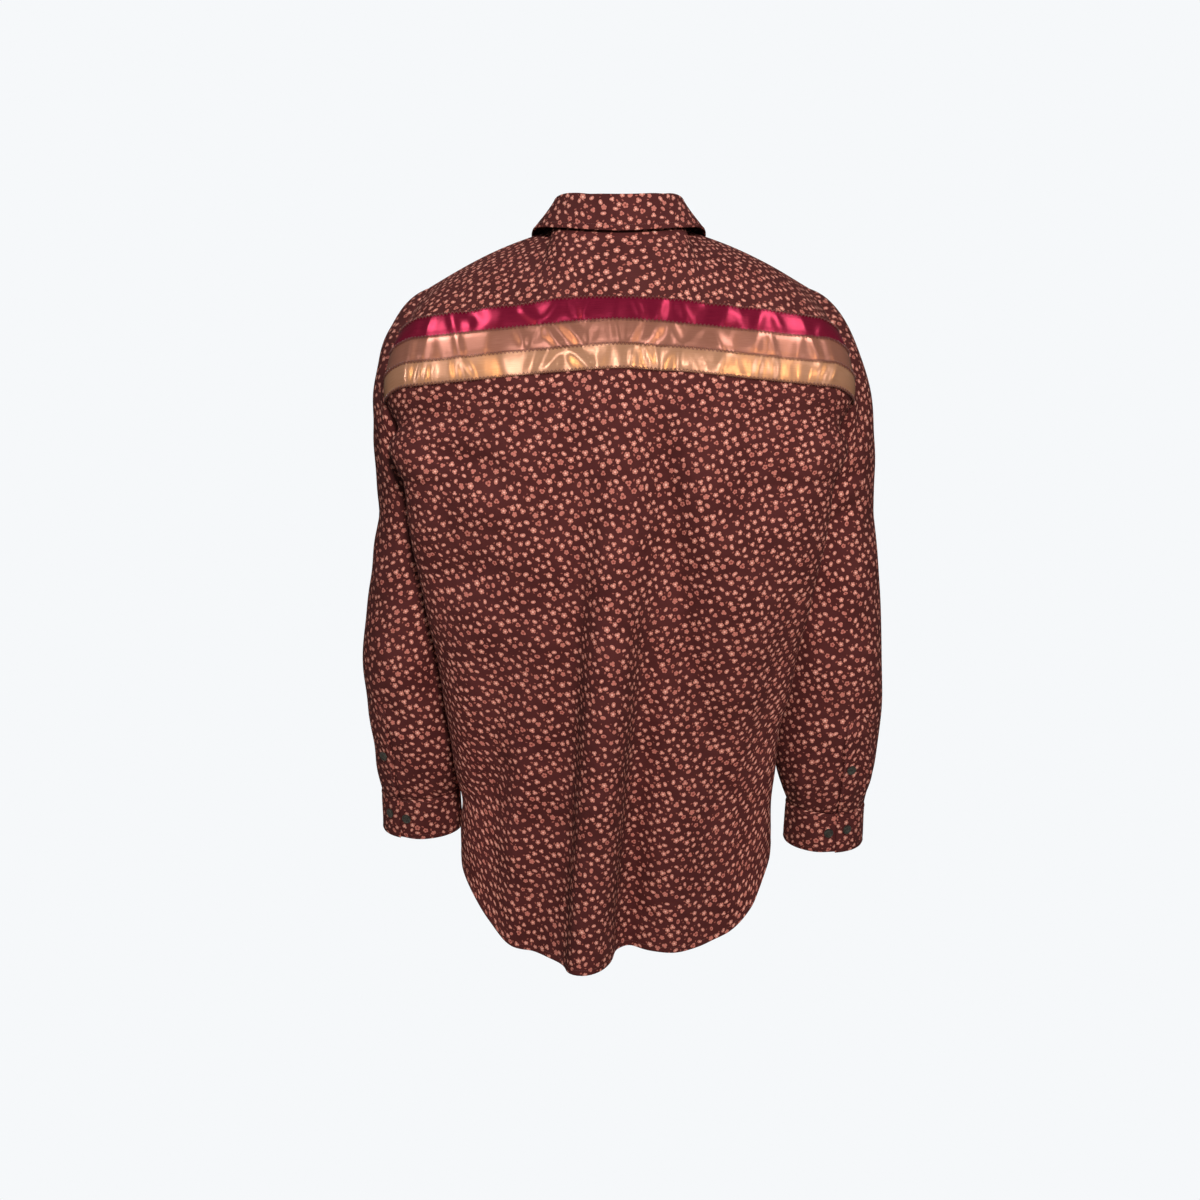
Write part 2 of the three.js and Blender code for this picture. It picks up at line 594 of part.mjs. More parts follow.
function sleeveGrid(rings, slitTurn, side) {
  const armStart = rings[0];
  const armEnd = rings[rings.length - 1];
  const turnAt = (j, settle) => seamTurns[j] + (settledTurn(j, slitTurn) - seamTurns[j]) * smooth(settle);
  const capRows = range(SLEEVE_ROWS.cap).map((i) => seamLoop.map((start, j) => {
    const end = sleeveRingPoint(armStart, seamTurns[j]);
    const flow = readTable(CAP_FLOW, 'turn', seamTurns[j]);
    const flowIn = point(flow.out, flow.back, -flow.down).multiplyScalar(flow.reach);
    const flowOut = point(0, 0, -Math.max(30, 0.7 * start.distanceTo(end)));
    return hermitePoint(start, end, flowIn, flowOut, i / SLEEVE_ROWS.cap);
  }));
  const armRows = range(SLEEVE_ROWS.arm + 1).map((i) => {
    const share = i / SLEEVE_ROWS.arm;
    const z = armStart.z + (armEnd.z - armStart.z) * share;
    const row = readTable(rings, 'z', z);
    return seamLoop.map((_, j) => sleeveRingPoint(row, turnAt(j, share * 1.6), z));
  });
  const grid = [...capRows, ...armRows];
  for (const row of grid) {
    row[row.length - 1] = row[0];
    for (const at of row.slice(0, -1)) at.x *= side;
  }
  return grid;
}

const SLEEVES = [
  { name: 'left', side: 1, rings: SLEEVE_LEFT, slitTurn: SLIT_TURN.left },
  { name: 'right', side: -1, rings: SLEEVE_RIGHT, slitTurn: SLIT_TURN.right },
];
for (const sleeve of SLEEVES) {
  sleeve.mirrored = sleeve.side < 0;
  sleeve.grid = sleeveGrid(sleeve.rings, sleeve.slitTurn, sleeve.side);
  addPanel(`sleeve_${sleeve.name}`, SHIRTING, [sleeve.grid], { mirrored: sleeve.mirrored });
}

// ---- what lies on a panel ----------------------------------------------------------------

// A piece on top of a panel takes that panel's points and shared normals, moved out.
function addOnTop(name, material, rows, wall, mirrored = false) {
  panels.push(new Sheet(name, material, [rows], { mirrored, wall, lift: LIFT + wall }));
}

const [topRow, midRow] = [yokeRises.indexOf(RIBBON_RISE), yokeRises.indexOf(RIBBON_RISE / 3)];
addOnTop('ribbon_wine', WINE, yokeGrid.slice(topRow, midRow + 1), RIBBON_WALL);
addOnTop('ribbon_rose', ROSE, [...yokeGrid.slice(midRow), backGrid[1]], RIBBON_WALL);
addOnTop('ribbon_gold', GOLD, backGrid.slice(1, 3), RIBBON_WALL);

// The strip along the cuff opening lies on its outer side and ends at the cuff.
function placketRows(sleeve) {
  const rows = sleeve.grid.filter((row) => row[0].z < sleeve.grid.at(-1)[0].z + PLACKET.length);
  return rows.map((row) => row.slice(SLIT_COLUMN - PLACKET.columns, SLIT_COLUMN + 1));
}
for (const sleeve of SLEEVES) {
  sleeve.placket = placketRows(sleeve);
  addOnTop(`sleeve_placket_${sleeve.name}`, SHIRTING, sleeve.placket, CLOTH, sleeve.mirrored);
}

// ---- cuffs -------------------------------------------------------------------------------

// The band starts at its free edge on the opening, goes once round and ends under itself.
function cuffGrid({ rings, side, slitTurn }) {
  const seam = rings[rings.length - 1];
  const columns = 29;
  const allTurn = 360 + CUFF.overlapTurn;
  return [0, 0.8, 1].map((fall) => range(columns + 1).map((k) => {
    const gone = allTurn * (1 - k / columns);
    const tuck = (CUFF_WALL + LIFT + 0.2) * smooth((gone - 330) / 28);
    const spread = 1.2 + CUFF.flare * fall - tuck;
    const row = { ...seam, outer: seam.outer + spread, inner: seam.inner + spread, depth: seam.depth + spread };
    const at = sleeveRingPoint(row, slitTurn - gone, 0);
    at.z = seam.z - SEAM_GAP - CUFF.length * fall;
    at.y -= CUFF.lean * fall;
    at.x *= side;
    return at;
  }));
}
for (const sleeve of SLEEVES) {
  sleeve.cuff = cuffGrid(sleeve);
  addPanel(`cuff_${sleeve.name}`, SHIRTING, [sleeve.cuff], { mirrored: sleeve.mirrored, wall: CUFF_WALL });
}

// ---- collar ------------------------------------------------------------------------------

const COLLAR_COLUMNS = 30;
const STAND_END = 187;         // degrees from centre back to each end of the stand
const FALL_END = 174;
// Fall of the collar by degrees from centre back: its depth down the outside, how far its edge
// stands out from the fold, and how far the point is drawn forward and sideways.
const COLLAR_FALL = [
  { turn: 0, drop: 35, out: 11, side: 0 },
  { turn: 50, drop: 33, out: 17, side: 1 },
  { turn: 95, drop: 28, out: 24, side: 1 },
  { turn: 135, drop: 39, out: 34, side: 0 },
  { turn: 160, drop: 53, out: 44, side: 12 },
  { turn: 174, drop: 65, out: 44, side: 34 },
];

function outwardAt(turn) {
  const angle = radians(turn);
  return point(Math.sin(angle) / NECK.halfWidth, Math.cos(angle) / NECK.halfDepth, 0).normalize();
}

const standHeight = (turn) => STAND_HEIGHT - COLLAR_DIP * smooth(Math.abs(turn) / 75);

// The stand rises from the neckline and leans in; its ends pass each other at the front.
function standPoint(turn, rise) {
  const side = Math.sign(turn);
  const at = necklinePoint(turn);
  at.z += STAND_CLEARANCE + standHeight(turn) * rise;
  at.addScaledVector(outwardAt(turn), -1 - 4 * rise);
  const past = smooth((Math.abs(turn) - 165) / 15);
  if (side < 0) at.y += (CUFF_WALL + LIFT) * past;
  return at;
}
const collarTurns = (end) => range(COLLAR_COLUMNS + 1).map((i) => end * (1 - 2 * i / COLLAR_COLUMNS));
const standGrid = [1, 0].map((rise) => collarTurns(STAND_END).map((turn) => standPoint(turn, rise)));
addPanel('collar_stand', SHIRTING, [standGrid]);

// The fall hooks over the stand's top edge, then runs down and out.
function fallPoint(turn, along) {
  const row = readTable(COLLAR_FALL, 'turn', Math.abs(turn));
  const outward = outwardAt(turn);
  const top = necklinePoint(turn);
  top.z += STAND_CLEARANCE + standHeight(turn);
  if (along === 0) return top.addScaledVector(outward, -6).add(point(0, 0, 2.2));
  if (along === 1) return top.addScaledVector(outward, -3.6).add(point(0, 0, 3.2));
  const share = (along - 2) / 3;
  const drop = row.drop * share;
  return top.addScaledVector(outward, -1.8 + row.out * share ** 1.15)
    .add(point(Math.sign(turn) * row.side * share, 0, 2 - drop));
}
const fallGrid = range(6).map((along) => collarTurns(FALL_END).map((turn) => fallPoint(turn, along)));
addPanel('collar_fall', SHIRTING, [fallGrid]);

// ---- walls of all cloth pieces -----------------------------------------------------------

for (const sheet of panels) {
  const mesh = new THREE.Mesh(wallGeometry(sheet), sheet.material);
  mesh.name = sheet.name;
  shirt.add(mesh);
}

// ---- buttons -----------------------------------------------------------------------------

function addButton(name, at, outward, clearance) {
  const { radius, height } = BUTTON;
  const rim = [[0, 0], [radius - 0.6, 0], [radius, 0.7], [radius, height - 0.5], [radius - 0.8, height],
    [radius - 1.8, height - 0.5], [0, height - 0.5]].map(([x, y]) => new THREE.Vector2(x, y));
  const turned = new THREE.LatheGeometry(rim, 12);
  turned.deleteAttribute('normal');
  turned.deleteAttribute('uv');
  const mesh = new THREE.Mesh(mergeVertices(turned, 0.01), HORN);
  mesh.name = name;
  mesh.quaternion.setFromUnitVectors(point(0, 1, 0), outward);
  mesh.position.copy(at).addScaledVector(outward, clearance);
  shirt.add(mesh);
}

// A point a share of the way across and down one face of a grid, and the outward direction.
function onFace(grid, row, { column, across, down }, mirrored) {
  const [a, b, c, d] = [grid[row][column], grid[row + 1][column], grid[row + 1][column + 1], grid[row][column + 1]];
  const outward = c.clone().sub(a).cross(d.clone().sub(b)).normalize();
  const at = mix(mix(a, d, across), mix(b, c, across), down);
  return { at, outward: mirrored ? outward.negate() : outward };
}

for (const sleeve of SLEEVES) {
  const { cuff, placket, mirrored, name } = sleeve;
  const onOverlap = onFace(cuff, 0, CUFF_BUTTON, mirrored);
  addButton(`button_cuff_${name}`, onOverlap.at, onOverlap.outward, 0.6);
  const pastEdge = onFace(cuff, 0, SPARE_BUTTON, mirrored);
  addButton(`button_cuff_spare_${name}`, pastEdge.at, pastEdge.outward, 0.6);
  const onStrip = onFace(placket, placket.length - 3, PLACKET_BUTTON, mirrored);
  addButton(`button_placket_${name}`, onStrip.at, onStrip.outward, LIFT + CLOTH + 0.6);
}

// Down the centre front, and one on the stand.
const centreFront = frontGrid(1).map((row) => row[1]);
for (const k of range(FRONT_BUTTONS)) {
  const z = centreFront[0].z - 62 - BUTTON_SPACING * k;
  const below = centreFront.findIndex((at) => at.z < z);
  const [high, low] = [centreFront[below - 1], centreFront[below]];
  const at = mix(high, low, (high.z - z) / (high.z - low.z));
  const outward = point(1, 0, 0).cross(high.clone().sub(low)).normalize();
  addButton(`button_front_${k + 1}`, at, outward, 0.6);
}
const standFront = mix(standPoint(180, 0), standPoint(180, 1), 0.5);
addButton('button_stand', standFront, point(0, -1, 0), 0.8);

export default shirt;
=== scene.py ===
# Ribbon shirt, looks. The shirt's panels are the CAD's own surfaces, cut finer, with their
# creases, hems and seams, then the printed cotton, satin ribbons, stitching and buttons.
# Shapes are worked out in millimetres and become metres when a mesh is made.

import math

import bmesh
import bpy
import numpy as np
from mathutils import Matrix, Vector


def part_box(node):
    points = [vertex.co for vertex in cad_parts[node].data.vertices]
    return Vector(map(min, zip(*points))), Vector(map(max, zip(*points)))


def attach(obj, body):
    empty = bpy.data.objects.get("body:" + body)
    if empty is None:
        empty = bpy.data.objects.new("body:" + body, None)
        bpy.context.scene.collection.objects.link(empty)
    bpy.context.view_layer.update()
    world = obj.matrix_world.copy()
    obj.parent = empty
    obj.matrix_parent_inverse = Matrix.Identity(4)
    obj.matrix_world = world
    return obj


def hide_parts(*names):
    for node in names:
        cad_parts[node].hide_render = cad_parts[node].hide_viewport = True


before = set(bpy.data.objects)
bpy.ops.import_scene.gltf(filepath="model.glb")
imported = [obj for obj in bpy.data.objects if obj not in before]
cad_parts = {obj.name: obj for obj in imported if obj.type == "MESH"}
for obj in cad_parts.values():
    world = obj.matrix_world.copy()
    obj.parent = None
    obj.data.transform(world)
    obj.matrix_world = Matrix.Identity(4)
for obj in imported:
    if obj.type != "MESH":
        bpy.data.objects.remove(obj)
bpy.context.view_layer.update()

MM = 0.001

# ---- driving sizes, as the CAD has them ------------------------------------------------------

RIBBONS_ABOVE_SEAM = 38
RIBBON_DROP = 36
RIBBON_FALL = 0.24
RIBBON_RISE = 0.32
YOKE_SEAM_HEIGHT = -101
YOKE_SEAM_DROP = 26
YOKE_SEAM_BEND = 0.2
YOKE_END_DROP = 14
NECK = dict(half_width=71, mid_y=-6, half_depth=64, lift=-14, tilt=30, sag=-14)
SHOULDER_SHARE = 0.34
FRONT_SEAM_TURN = 122
ARMPIT_HEIGHT = -255
FRONT_OVERLAP_SHARE = 16 / 280
STAND_HEIGHT = 28
STAND_CLEARANCE = 0.5
COLLAR_DIP = 5
SQUARENESS = 2.5
HEM_TILT = 8
CUFF_LENGTH = 50
CUFF_FLARE = 1
CUFF_LEAN = 6
CUFF_OVERLAP_TURN = 32
PLACKET_LENGTH = 150
SLIT_COLUMN = 4
SEAM_GAP = 0.3
SLEEVE_COLUMNS = 19            # the CAD's columns round a sleeve, less the one that closes it

CLOTH = 1.0                    # what shows of the shirting's wall
FOLDED = 2.0                   # interlined cuffs and collar stand
COLLAR = 1.6
RIBBON = 0.6
STEP = 3.6                     # spacing of the points that carry the creases


class Table:
    """Rows of numbers under column names, read anywhere along a smooth curve through them."""

    def __init__(self, names, *rows):
        self.names = names.split()
        rows = sorted(rows, key=lambda row: row[0])
        self.keys = np.array([row[0] for row in rows], float)
        self.columns = {n: np.array([row[i] for row in rows], float) for i, n in enumerate(self.names)}

    def at(self, value):
        value = np.asarray(value, float)
        last = len(self.keys) - 1
        low = np.clip(np.searchsorted(self.keys, value, side="right") - 1, 0, last - 1)
        before, after = np.maximum(low - 1, 0), np.minimum(low + 2, last)
        step = self.keys[low + 1] - self.keys[low]
        t = np.clip((value - self.keys[low]) / step, 0, 1)
        found = {}
        for name, column in self.columns.items():
            slope_in = (column[low + 1] - column[before]) / (self.keys[low + 1] - self.keys[before]) * step
            slope_out = (column[after] - column[low]) / (self.keys[after] - self.keys[low]) * step
            found[name] = hermite(column[low], column[low + 1], slope_in, slope_out, t)
        return found


def hermite(start, end, slope_in, slope_out, t):
    return ((2 * t**3 - 3 * t**2 + 1) * start + (t**3 - 2 * t**2 + t) * slope_in
            + (3 * t**2 - 2 * t**3) * end + (t**3 - t**2) * slope_out)


# Level cross-sections of the body: its middle, its corner behind the arm and its side.
BODY = Table(
    "z backY backW backCornerY sideW sideY frontW frontCornerY frontY",
    (-60, 90, 214, 28, 190, 0, 196, -40, -80),
    (-100, 113, 230, 42, 190, 0, 200, -60, -105),
    (-140, 126, 240, 52, 190, 0, 202, -72, -128),
    (-190, 132, 235, 60, 189, 2, 200, -80, -146),
    (-255, 133.5, 226, 70, 186, 5, 193, -88, -158),
    (-300, 132, 221, 74, 181, 8, 189, -92, -162),
    (-353, 129, 214, 72, 178, 8, 186, -92, -163),
    (-455, 118, 197, 62, 172, 4, 180, -90, -160),
    (-545, 105, 182, 52, 168, 0, 175, -88, -157),
    (-620, 97, 174, 45, 166, -4, 173, -88, -157),
    (-700, 91, 175, 42, 169, -6, 173, -90, -160),
    (-820, 86, 179, 40, 173, -8, 175, -92, -164),
)
# The armhole seam, from the shoulder point down the back to the armpit and up the front.
ARMHOLE = np.array([
    (203, -8, -60), (210, 16, -70), (221, 36, -92), (233, 48, -117), (240, 54, -140),
    (245, 57, -168), (239, 50, -191), (223, 36, -216), (204, 17, -241), (189, -3, -255),
    (199, -30, -243), (206, -52, -216), (210, -64, -182), (210, -64, -146), (208, -54, -112),
    (205, -38, -82),
], float)
ARMHOLE_ROWS = dict(back_seam=4, armpit=9, front_seam=15)
BACK_FOLD = Table(
    "z x height width",
    (-240, 4, 0, 110), (-330, 6, 6, 110), (-455, 18, 18, 104),
    (-545, 28, 27, 100), (-640, 34, 32, 98), (-820, 52, 46, 104),
)
FRONT_FOLD = Table(
    "z x height width",
    (-240, 96, 0, 110), (-455, 98, 8, 100), (-640, 100, 18, 92), (-820, 102, 24, 90),
)
BACK_HEM = Table(
    "share z",
    (0, -791), (0.35, -792), (0.5, -782), (0.62, -752), (0.74, -704), (0.87, -672), (1, -664),
)
FRONT_HEM = Table(
    "share z",
    (0, -752), (0.35, -752), (0.5, -742), (0.62, -716), (0.76, -684), (0.88, -668), (1, -664),
)
SLEEVES = dict(
    left=dict(side=1, slit_turn=63, rings=Table(
        "z x y outer inner depth",
        (-306, 229, -22, 40, 41, 62), (-372, 231, -16, 47, 46, 64), (-455, 237, -4, 53, 52, 62),
        (-530, 236, -3, 50, 54, 58), (-590, 234, -8, 47, 55, 53), (-620, 232, -12, 46, 50, 48),
        (-633, 231, -14, 45, 45, 43),
    )),
    right=dict(side=-1, slit_turn=82, rings=Table(
        "z x y outer inner depth",
        (-306, 237, -22, 50, 49, 62), (-372, 241, -16, 54, 56, 64), (-455, 245, -4, 55, 60, 62),
        (-530, 246, -3, 57, 64, 58), (-595, 247, -8, 53, 62, 54), (-635, 247, -12, 46, 52, 48),
        (-650, 247, -14, 44, 46, 43),
    )),
)
# How a sleeve leaves the armhole, by degrees from the shoulder point through the back.
CAP_FLOW = Table(
    "turn out back down reach",
    (0, 0.92, 0, 0.38, 255), (50, 0.86, -0.25, 0.44, 205), (100, 0.5, -0.4, 0.77, 95),
    (150, 0.42, -0.2, 0.88, 52), (180, 0.42, 0, 0.91, 42), (210, 0.42, 0.2, 0.88, 52),
    (260, 0.5, 0.35, 0.79, 95), (310, 0.8, 0.25, 0.54, 160), (360, 0.92, 0, 0.38, 255),
)
# The collar's fall, by degrees from centre back.
COLLAR_FALL = Table(
    "turn drop out side",
    (0, 35, 11, 0), (50, 33, 17, 1), (95, 28, 24, 1), (135, 39, 34, 0), (160, 53, 44, 12),
    (174, 65, 44, 34),
)
STAND_END = 187
FALL_END = 174


# ---- points ----------------------------------------------------------------------------------

def smooth(value):
    t = np.clip(value, 0, 1)
    return t * t * (3 - 2 * t)


def points(x, y, z):
    return np.stack(np.broadcast_arrays(*[np.asarray(v, float) for v in (x, y, z)]), axis=-1)


def length_of(v):
    return np.linalg.norm(v, axis=-1)


def run_lengths(line):
    """Distances along a polyline, or along each of several, from its first point."""
    steps = length_of(np.diff(line, axis=-2))
    return np.concatenate([np.zeros(steps.shape[:-1] + (1,)), np.cumsum(steps, axis=-1)], axis=-1)


def along_line(line, share):
    run = run_lengths(line)
    target = np.clip(share, 0, 1) * run[-1]
    return points(*[np.interp(target, run, line[:, axis]) for axis in range(3)])


def side_of(share):
    return np.where(share < 0, -1.0, 1.0)


def turned_to_side(at, side):
    return at * points(side, 1, 1)


def armhole_line(from_row, to_row, steps=48):
    count = len(ARMHOLE)
    row = np.linspace(from_row, to_row, steps + 1) % count
    low = np.floor(row).astype(int)
    t = (row - low)[:, None]
    p0, p1, p2, p3 = (ARMHOLE[(low + k) % count] for k in (-1, 0, 1, 2))
    d0, d1, d2 = (np.sqrt(length_of(b - a))[:, None] for a, b in ((p0, p1), (p1, p2), (p2, p3)))
    slope_in = ((p1 - p0) / d0 - (p2 - p0) / (d0 + d1) + (p2 - p1) / d1) * d1
    slope_out = ((p2 - p1) / d1 - (p3 - p1) / (d1 + d2) + (p3 - p2) / d2) * d1
    return hermite(p1, p2, slope_in, slope_out, t)


ARMHOLE_LINES = dict(
    yoke_back=armhole_line(ARMHOLE_ROWS["back_seam"], 0),
    yoke_front=armhole_line(len(ARMHOLE), ARMHOLE_ROWS["front_seam"]),
    back=armhole_line(ARMHOLE_ROWS["back_seam"], ARMHOLE_ROWS["armpit"]),
    front=armhole_line(ARMHOLE_ROWS["front_seam"], ARMHOLE_ROWS["armpit"]),
)


def armhole_point(stretch, share, side=1):
    return turned_to_side(along_line(ARMHOLE_LINES[stretch], share), side)


def armhole_at_height(z):
    line = ARMHOLE_LINES["back"][::-1]
    return points(*[np.interp(z, line[:, 2], line[:, axis]) for axis in range(3)])


def section_line(row, facing, reach, steps=40):
    """Half level sections from the middle over the corner towards the side seam."""
    back = facing == "back"
    middle_y = row["backY" if back else "frontY"][..., None]
    corner_x = row["backW" if back else "frontW"][..., None]
    corner_y = row["backCornerY" if back else "frontCornerY"][..., None]
    p = np.asarray(reach)[..., None] * np.arange(steps + 1) / steps
    turn = np.minimum(p, 1) * math.pi / 2
    round_x = corner_x * np.sin(turn) ** (2 / SQUARENESS)
    round_y = corner_y + (middle_y - corner_y) * np.maximum(0, np.cos(turn)) ** (2 / SQUARENESS)
    q = p - 1
    inward = smooth(np.minimum(1, q * 1.25))
    side_x = corner_x + (row["sideW"][..., None] - corner_x) * inward
    side_y = corner_y + (row["sideY"][..., None] - corner_y) * q
    return points(np.where(q > 0, side_x, round_x), np.where(q > 0, side_y, round_y), 0)


def body_point(z, share, facing, reach=2):
    z, share, reach = np.broadcast_arrays(*[np.asarray(v, float) for v in (z, share, reach)])
    line = section_line(BODY.at(z), facing, reach)
    run = run_lengths(line)
    target = np.minimum(np.abs(share), 1) * run[..., -1]
    low = np.clip((run < target[..., None]).sum(axis=-1) - 1, 0, line.shape[-2] - 2)[..., None]
    start, end = (np.take_along_axis(run, low + k, -1)[..., 0] for k in (0, 1))
    t = ((target - start) / (end - start))[..., None]
    a, b = (np.take_along_axis(line, (low + k)[..., None], -2)[..., 0, :] for k in (0, 1))
    found = a + (b - a) * t
    return points(found[..., 0] * side_of(share), found[..., 1], z)


def fold_height(table, x, z):
    fold = table.at(z)
    away = np.minimum(1, np.abs(x - fold["x"]) / (fold["width"] / 2))
    return np.where(z > table.keys[-1], 0, fold["height"] * (1 + np.cos(math.pi * away)) / 2)


def with_folds(at, facing):
    x, y, z = (at[..., i] for i in range(3))
    if facing == "back":
        return points(x, y + fold_height(BACK_FOLD, x, z), z)
    return points(x, y - fold_height(FRONT_FOLD, np.abs(x), z), z)


def lower_point(share, fall, facing, side=1):
    hem = (BACK_HEM if facing == "back" else FRONT_HEM).at(np.abs(share))["z"]
    z = ARMPIT_HEIGHT + (hem - ARMPIT_HEIGHT) * fall - HEM_TILT * share * fall * side
    return with_folds(body_point(z, share, facing), facing)


def yoke_seam_height(share):
    away = np.abs(share)
    bend = np.hypot(away, YOKE_SEAM_BEND) - YOKE_SEAM_BEND
    full_bend = math.hypot(1, YOKE_SEAM_BEND) - YOKE_SEAM_BEND
    return (YOKE_SEAM_HEIGHT - YOKE_SEAM_DROP * bend / full_bend
            - YOKE_END_DROP * smooth((away - 0.8) / 0.2))


def upper_back_height(share, fall):
    ribbon_foot = yoke_seam_height(share) - RIBBON_DROP * np.minimum(1, fall / RIBBON_FALL)
    rest = np.maximum(0, (fall - RIBBON_FALL) / (1 - RIBBON_FALL))
    return ribbon_foot + (ARMPIT_HEIGHT - ribbon_foot) * rest


def upper_back_point(share, fall):
    reach = 1 + smooth((fall - 0.4) / 0.6)
    edge_height = upper_back_height(np.ones_like(fall), fall)
    slip = armhole_at_height(edge_height) - body_point(edge_height, 1, "back", reach)
    slip = turned_to_side(slip * (np.abs(share) ** 3)[..., None], side_of(share))
    return body_point(upper_back_height(share, fall), share, "back", reach) + slip


def neckline_point(turn):
    angle = np.radians(turn)
    return points(
        NECK["half_width"] * np.sin(angle),
        NECK["mid_y"] + NECK["half_depth"] * np.cos(angle),
        NECK["lift"] + NECK["tilt"] * np.cos(angle) + NECK["sag"] * np.cos(2 * angle),
    )


def shoulder_line_point(share):
    side = side_of(share)
    along = np.maximum(0, (np.abs(share) - SHOULDER_SHARE) / (1 - SHOULDER_SHARE))
    neck_end, point = neckline_point(90), armhole_point("yoke_front", 0.0)
    outer = neck_end + (point - neck_end) * along[..., None] + points(0, 0, 6 * np.sin(math.pi * along))
    on_neck = (np.abs(share) <= SHOULDER_SHARE)[..., None]
    return np.where(on_neck, neckline_point(90 * share / SHOULDER_SHARE), turned_to_side(outer, side))


def yoke_arch(share, rise):
    low, high = upper_back_point(share, np.zeros_like(share)), shoulder_line_point(share)
    reach = length_of(low - high)[..., None]
    level = smooth(np.abs(share) / SHOULDER_SHARE)
    flow_in = points(0, -0.36, 0.93) * reach
    flow_out = points(0, -0.51 - 0.45 * level, 0.86 - 0.74 * level) * reach
    return hermite(low, high, flow_in, flow_out, rise[..., None])


def yoke_back_point(share, rise):
    side = side_of(share)
    away = np.abs(share)
    foot = upper_back_point(share, np.zeros_like(share))
    height = length_of(foot - shoulder_line_point(share)) * 1.04
    ribbon_share = RIBBONS_ABOVE_SEAM / height
    rest = np.maximum(0, (rise - RIBBON_RISE) / (1 - RIBBON_RISE))
    climbed = ribbon_share * np.minimum(1, rise / RIBBON_RISE) + (1 - ribbon_share) * rest
    edge = armhole_point("yoke_back", climbed, side)
    pull = np.maximum(0, (away - SHOULDER_SHARE) / (1 - SHOULDER_SHARE))[..., None] ** 2
    found = yoke_arch(share, climbed) + (edge - yoke_arch(side, climbed)) * pull
    return np.where((away >= 0.999)[..., None], edge, found)


def front_seam_point(share):
    along = (np.abs(share) - SHOULDER_SHARE) / (1 - SHOULDER_SHARE)
    start, end = neckline_point(FRONT_SEAM_TURN), armhole_point("front", 0.0)
    found = start + (end - start) * along[..., None] + points(0, 0, 5 * np.sin(math.pi * along))
    return turned_to_side(found, side_of(share))


def yoke_front_point(share, fall):
    side = side_of(share)
    high, low = shoulder_line_point(share), front_seam_point(share)
    reach = length_of(high - low)[..., None]
    found = hermite(high, low, points(0, -1, -0.1) * reach, points(0, -0.8, -0.6) * reach, fall[..., None])
    on_neck = turned_to_side(neckline_point(90 + (FRONT_SEAM_TURN - 90) * fall), side)
    found = np.where((np.abs(share) <= SHOULDER_SHARE + 0.001)[..., None], on_neck, found)
    at_arm = (np.abs(share) >= 0.999)[..., None]
    return np.where(at_arm, armhole_point("yoke_front", fall, side), found)


def upper_front_point(share, fall):
    low = with_folds(body_point(ARMPIT_HEIGHT, share, "front"), "front")
    turn = 180 + (FRONT_SEAM_TURN - 180) * share / SHOULDER_SHARE
    on_neckline = (share < SHOULDER_SHARE)[..., None]
    high = np.where(on_neckline, neckline_point(turn), front_seam_point(share))
    reach = length_of(high - low)[..., None]
    t = fall[..., None]
    flow_in, flow_out = points(0, -0.7, -0.7) * reach, points(0, -0.05, -1) * reach
    found = hermite(high, low, flow_in, flow_out, t)
    side_seam = body_point(ARMPIT_HEIGHT, 1.0, "front")
    plain = hermite(front_seam_point(np.ones_like(share)), side_seam, flow_in, flow_out, t)
    edge = armhole_point("front", fall)
    found = found + (edge - plain) * (np.maximum(0, share) ** 3)[..., None]
    return np.where((share >= 0.999)[..., None], edge, found)


def sleeve_ring_point(row, turn, z, spread=0.0):
    angle = np.radians(turn)
    reach = np.where(np.cos(angle) > 0, row["outer"], row["inner"]) + spread
    return points(row["x"] + reach * np.cos(angle), row["y"] + (row["depth"] + spread) * np.sin(angle), z)


def collar_outward(turn):
    angle = np.radians(turn)
    out = points(np.sin(angle) / NECK["half_width"], np.cos(angle) / NECK["half_depth"], 0)
    return out / length_of(out)[..., None]


def stand_height(turn):
    return STAND_HEIGHT - COLLAR_DIP * smooth(np.abs(turn) / 75)


def stand_point(turn, rise):
    at = neckline_point(turn) + points(0, 0, STAND_CLEARANCE + stand_height(turn) * rise)
    at = at - collar_outward(turn) * (1 + 4 * rise)[..., None]
    past = smooth((np.abs(turn) - 165) / 15) * (turn < 0)
    return at + points(0, 2.8 * past, 0)


def fall_point(turn, share):
    row = COLLAR_FALL.at(np.abs(turn))
    drop = row["drop"] * share
    top = neckline_point(turn) + points(0, 0, STAND_CLEARANCE + stand_height(turn) + 2 - drop)
    out = -1.8 + row["out"] * share**1.15
    return top + collar_outward(turn) * out[..., None] + points(np.sign(turn) * row["side"] * share, 0, 0)


# ---- grids of cloth --------------------------------------------------------------------------
# A grid is rows of points down the garment by columns round it to the left, seen from above.
# Its outer side is where the cross product of down and round points.

def spaced(length, near_edges=(0, 1.2, 3.0), step=STEP):
    """Shares of a length, a step apart, closer at both ends where a seam or hem rolls over."""
    inner = near_edges[-1]
    count = max(2, round((length - 2 * inner) / step))
    middle = np.linspace(inner, length - inner, count + 1)
    ends = np.array(near_edges[:-1])
    return np.concatenate([ends, middle, length - ends[::-1]]) / length


def at_spots(grid, rows, columns):
    """The grid at any row and column numbers, along smooth curves through its points."""
    def along(values, spots):
        last = len(values) - 1
        low = np.clip(np.floor(spots).astype(int), 0, last - 1)
        t = (spots - low)[:, None, None]
        a, b = values[low], values[low + 1]
        before = values[np.maximum(low - 1, 0)]
        after = values[np.minimum(low + 2, last)]
        slope_in = np.where((low > 0)[:, None, None], (b - before) / 2, b - a)
        slope_out = np.where((low + 2 <= last)[:, None, None], (after - a) / 2, b - a)
        return hermite(a, b, slope_in, slope_out, t)
    halfway = along(grid, rows)
    return along(halfway.swapaxes(0, 1), columns).swapaxes(0, 1)


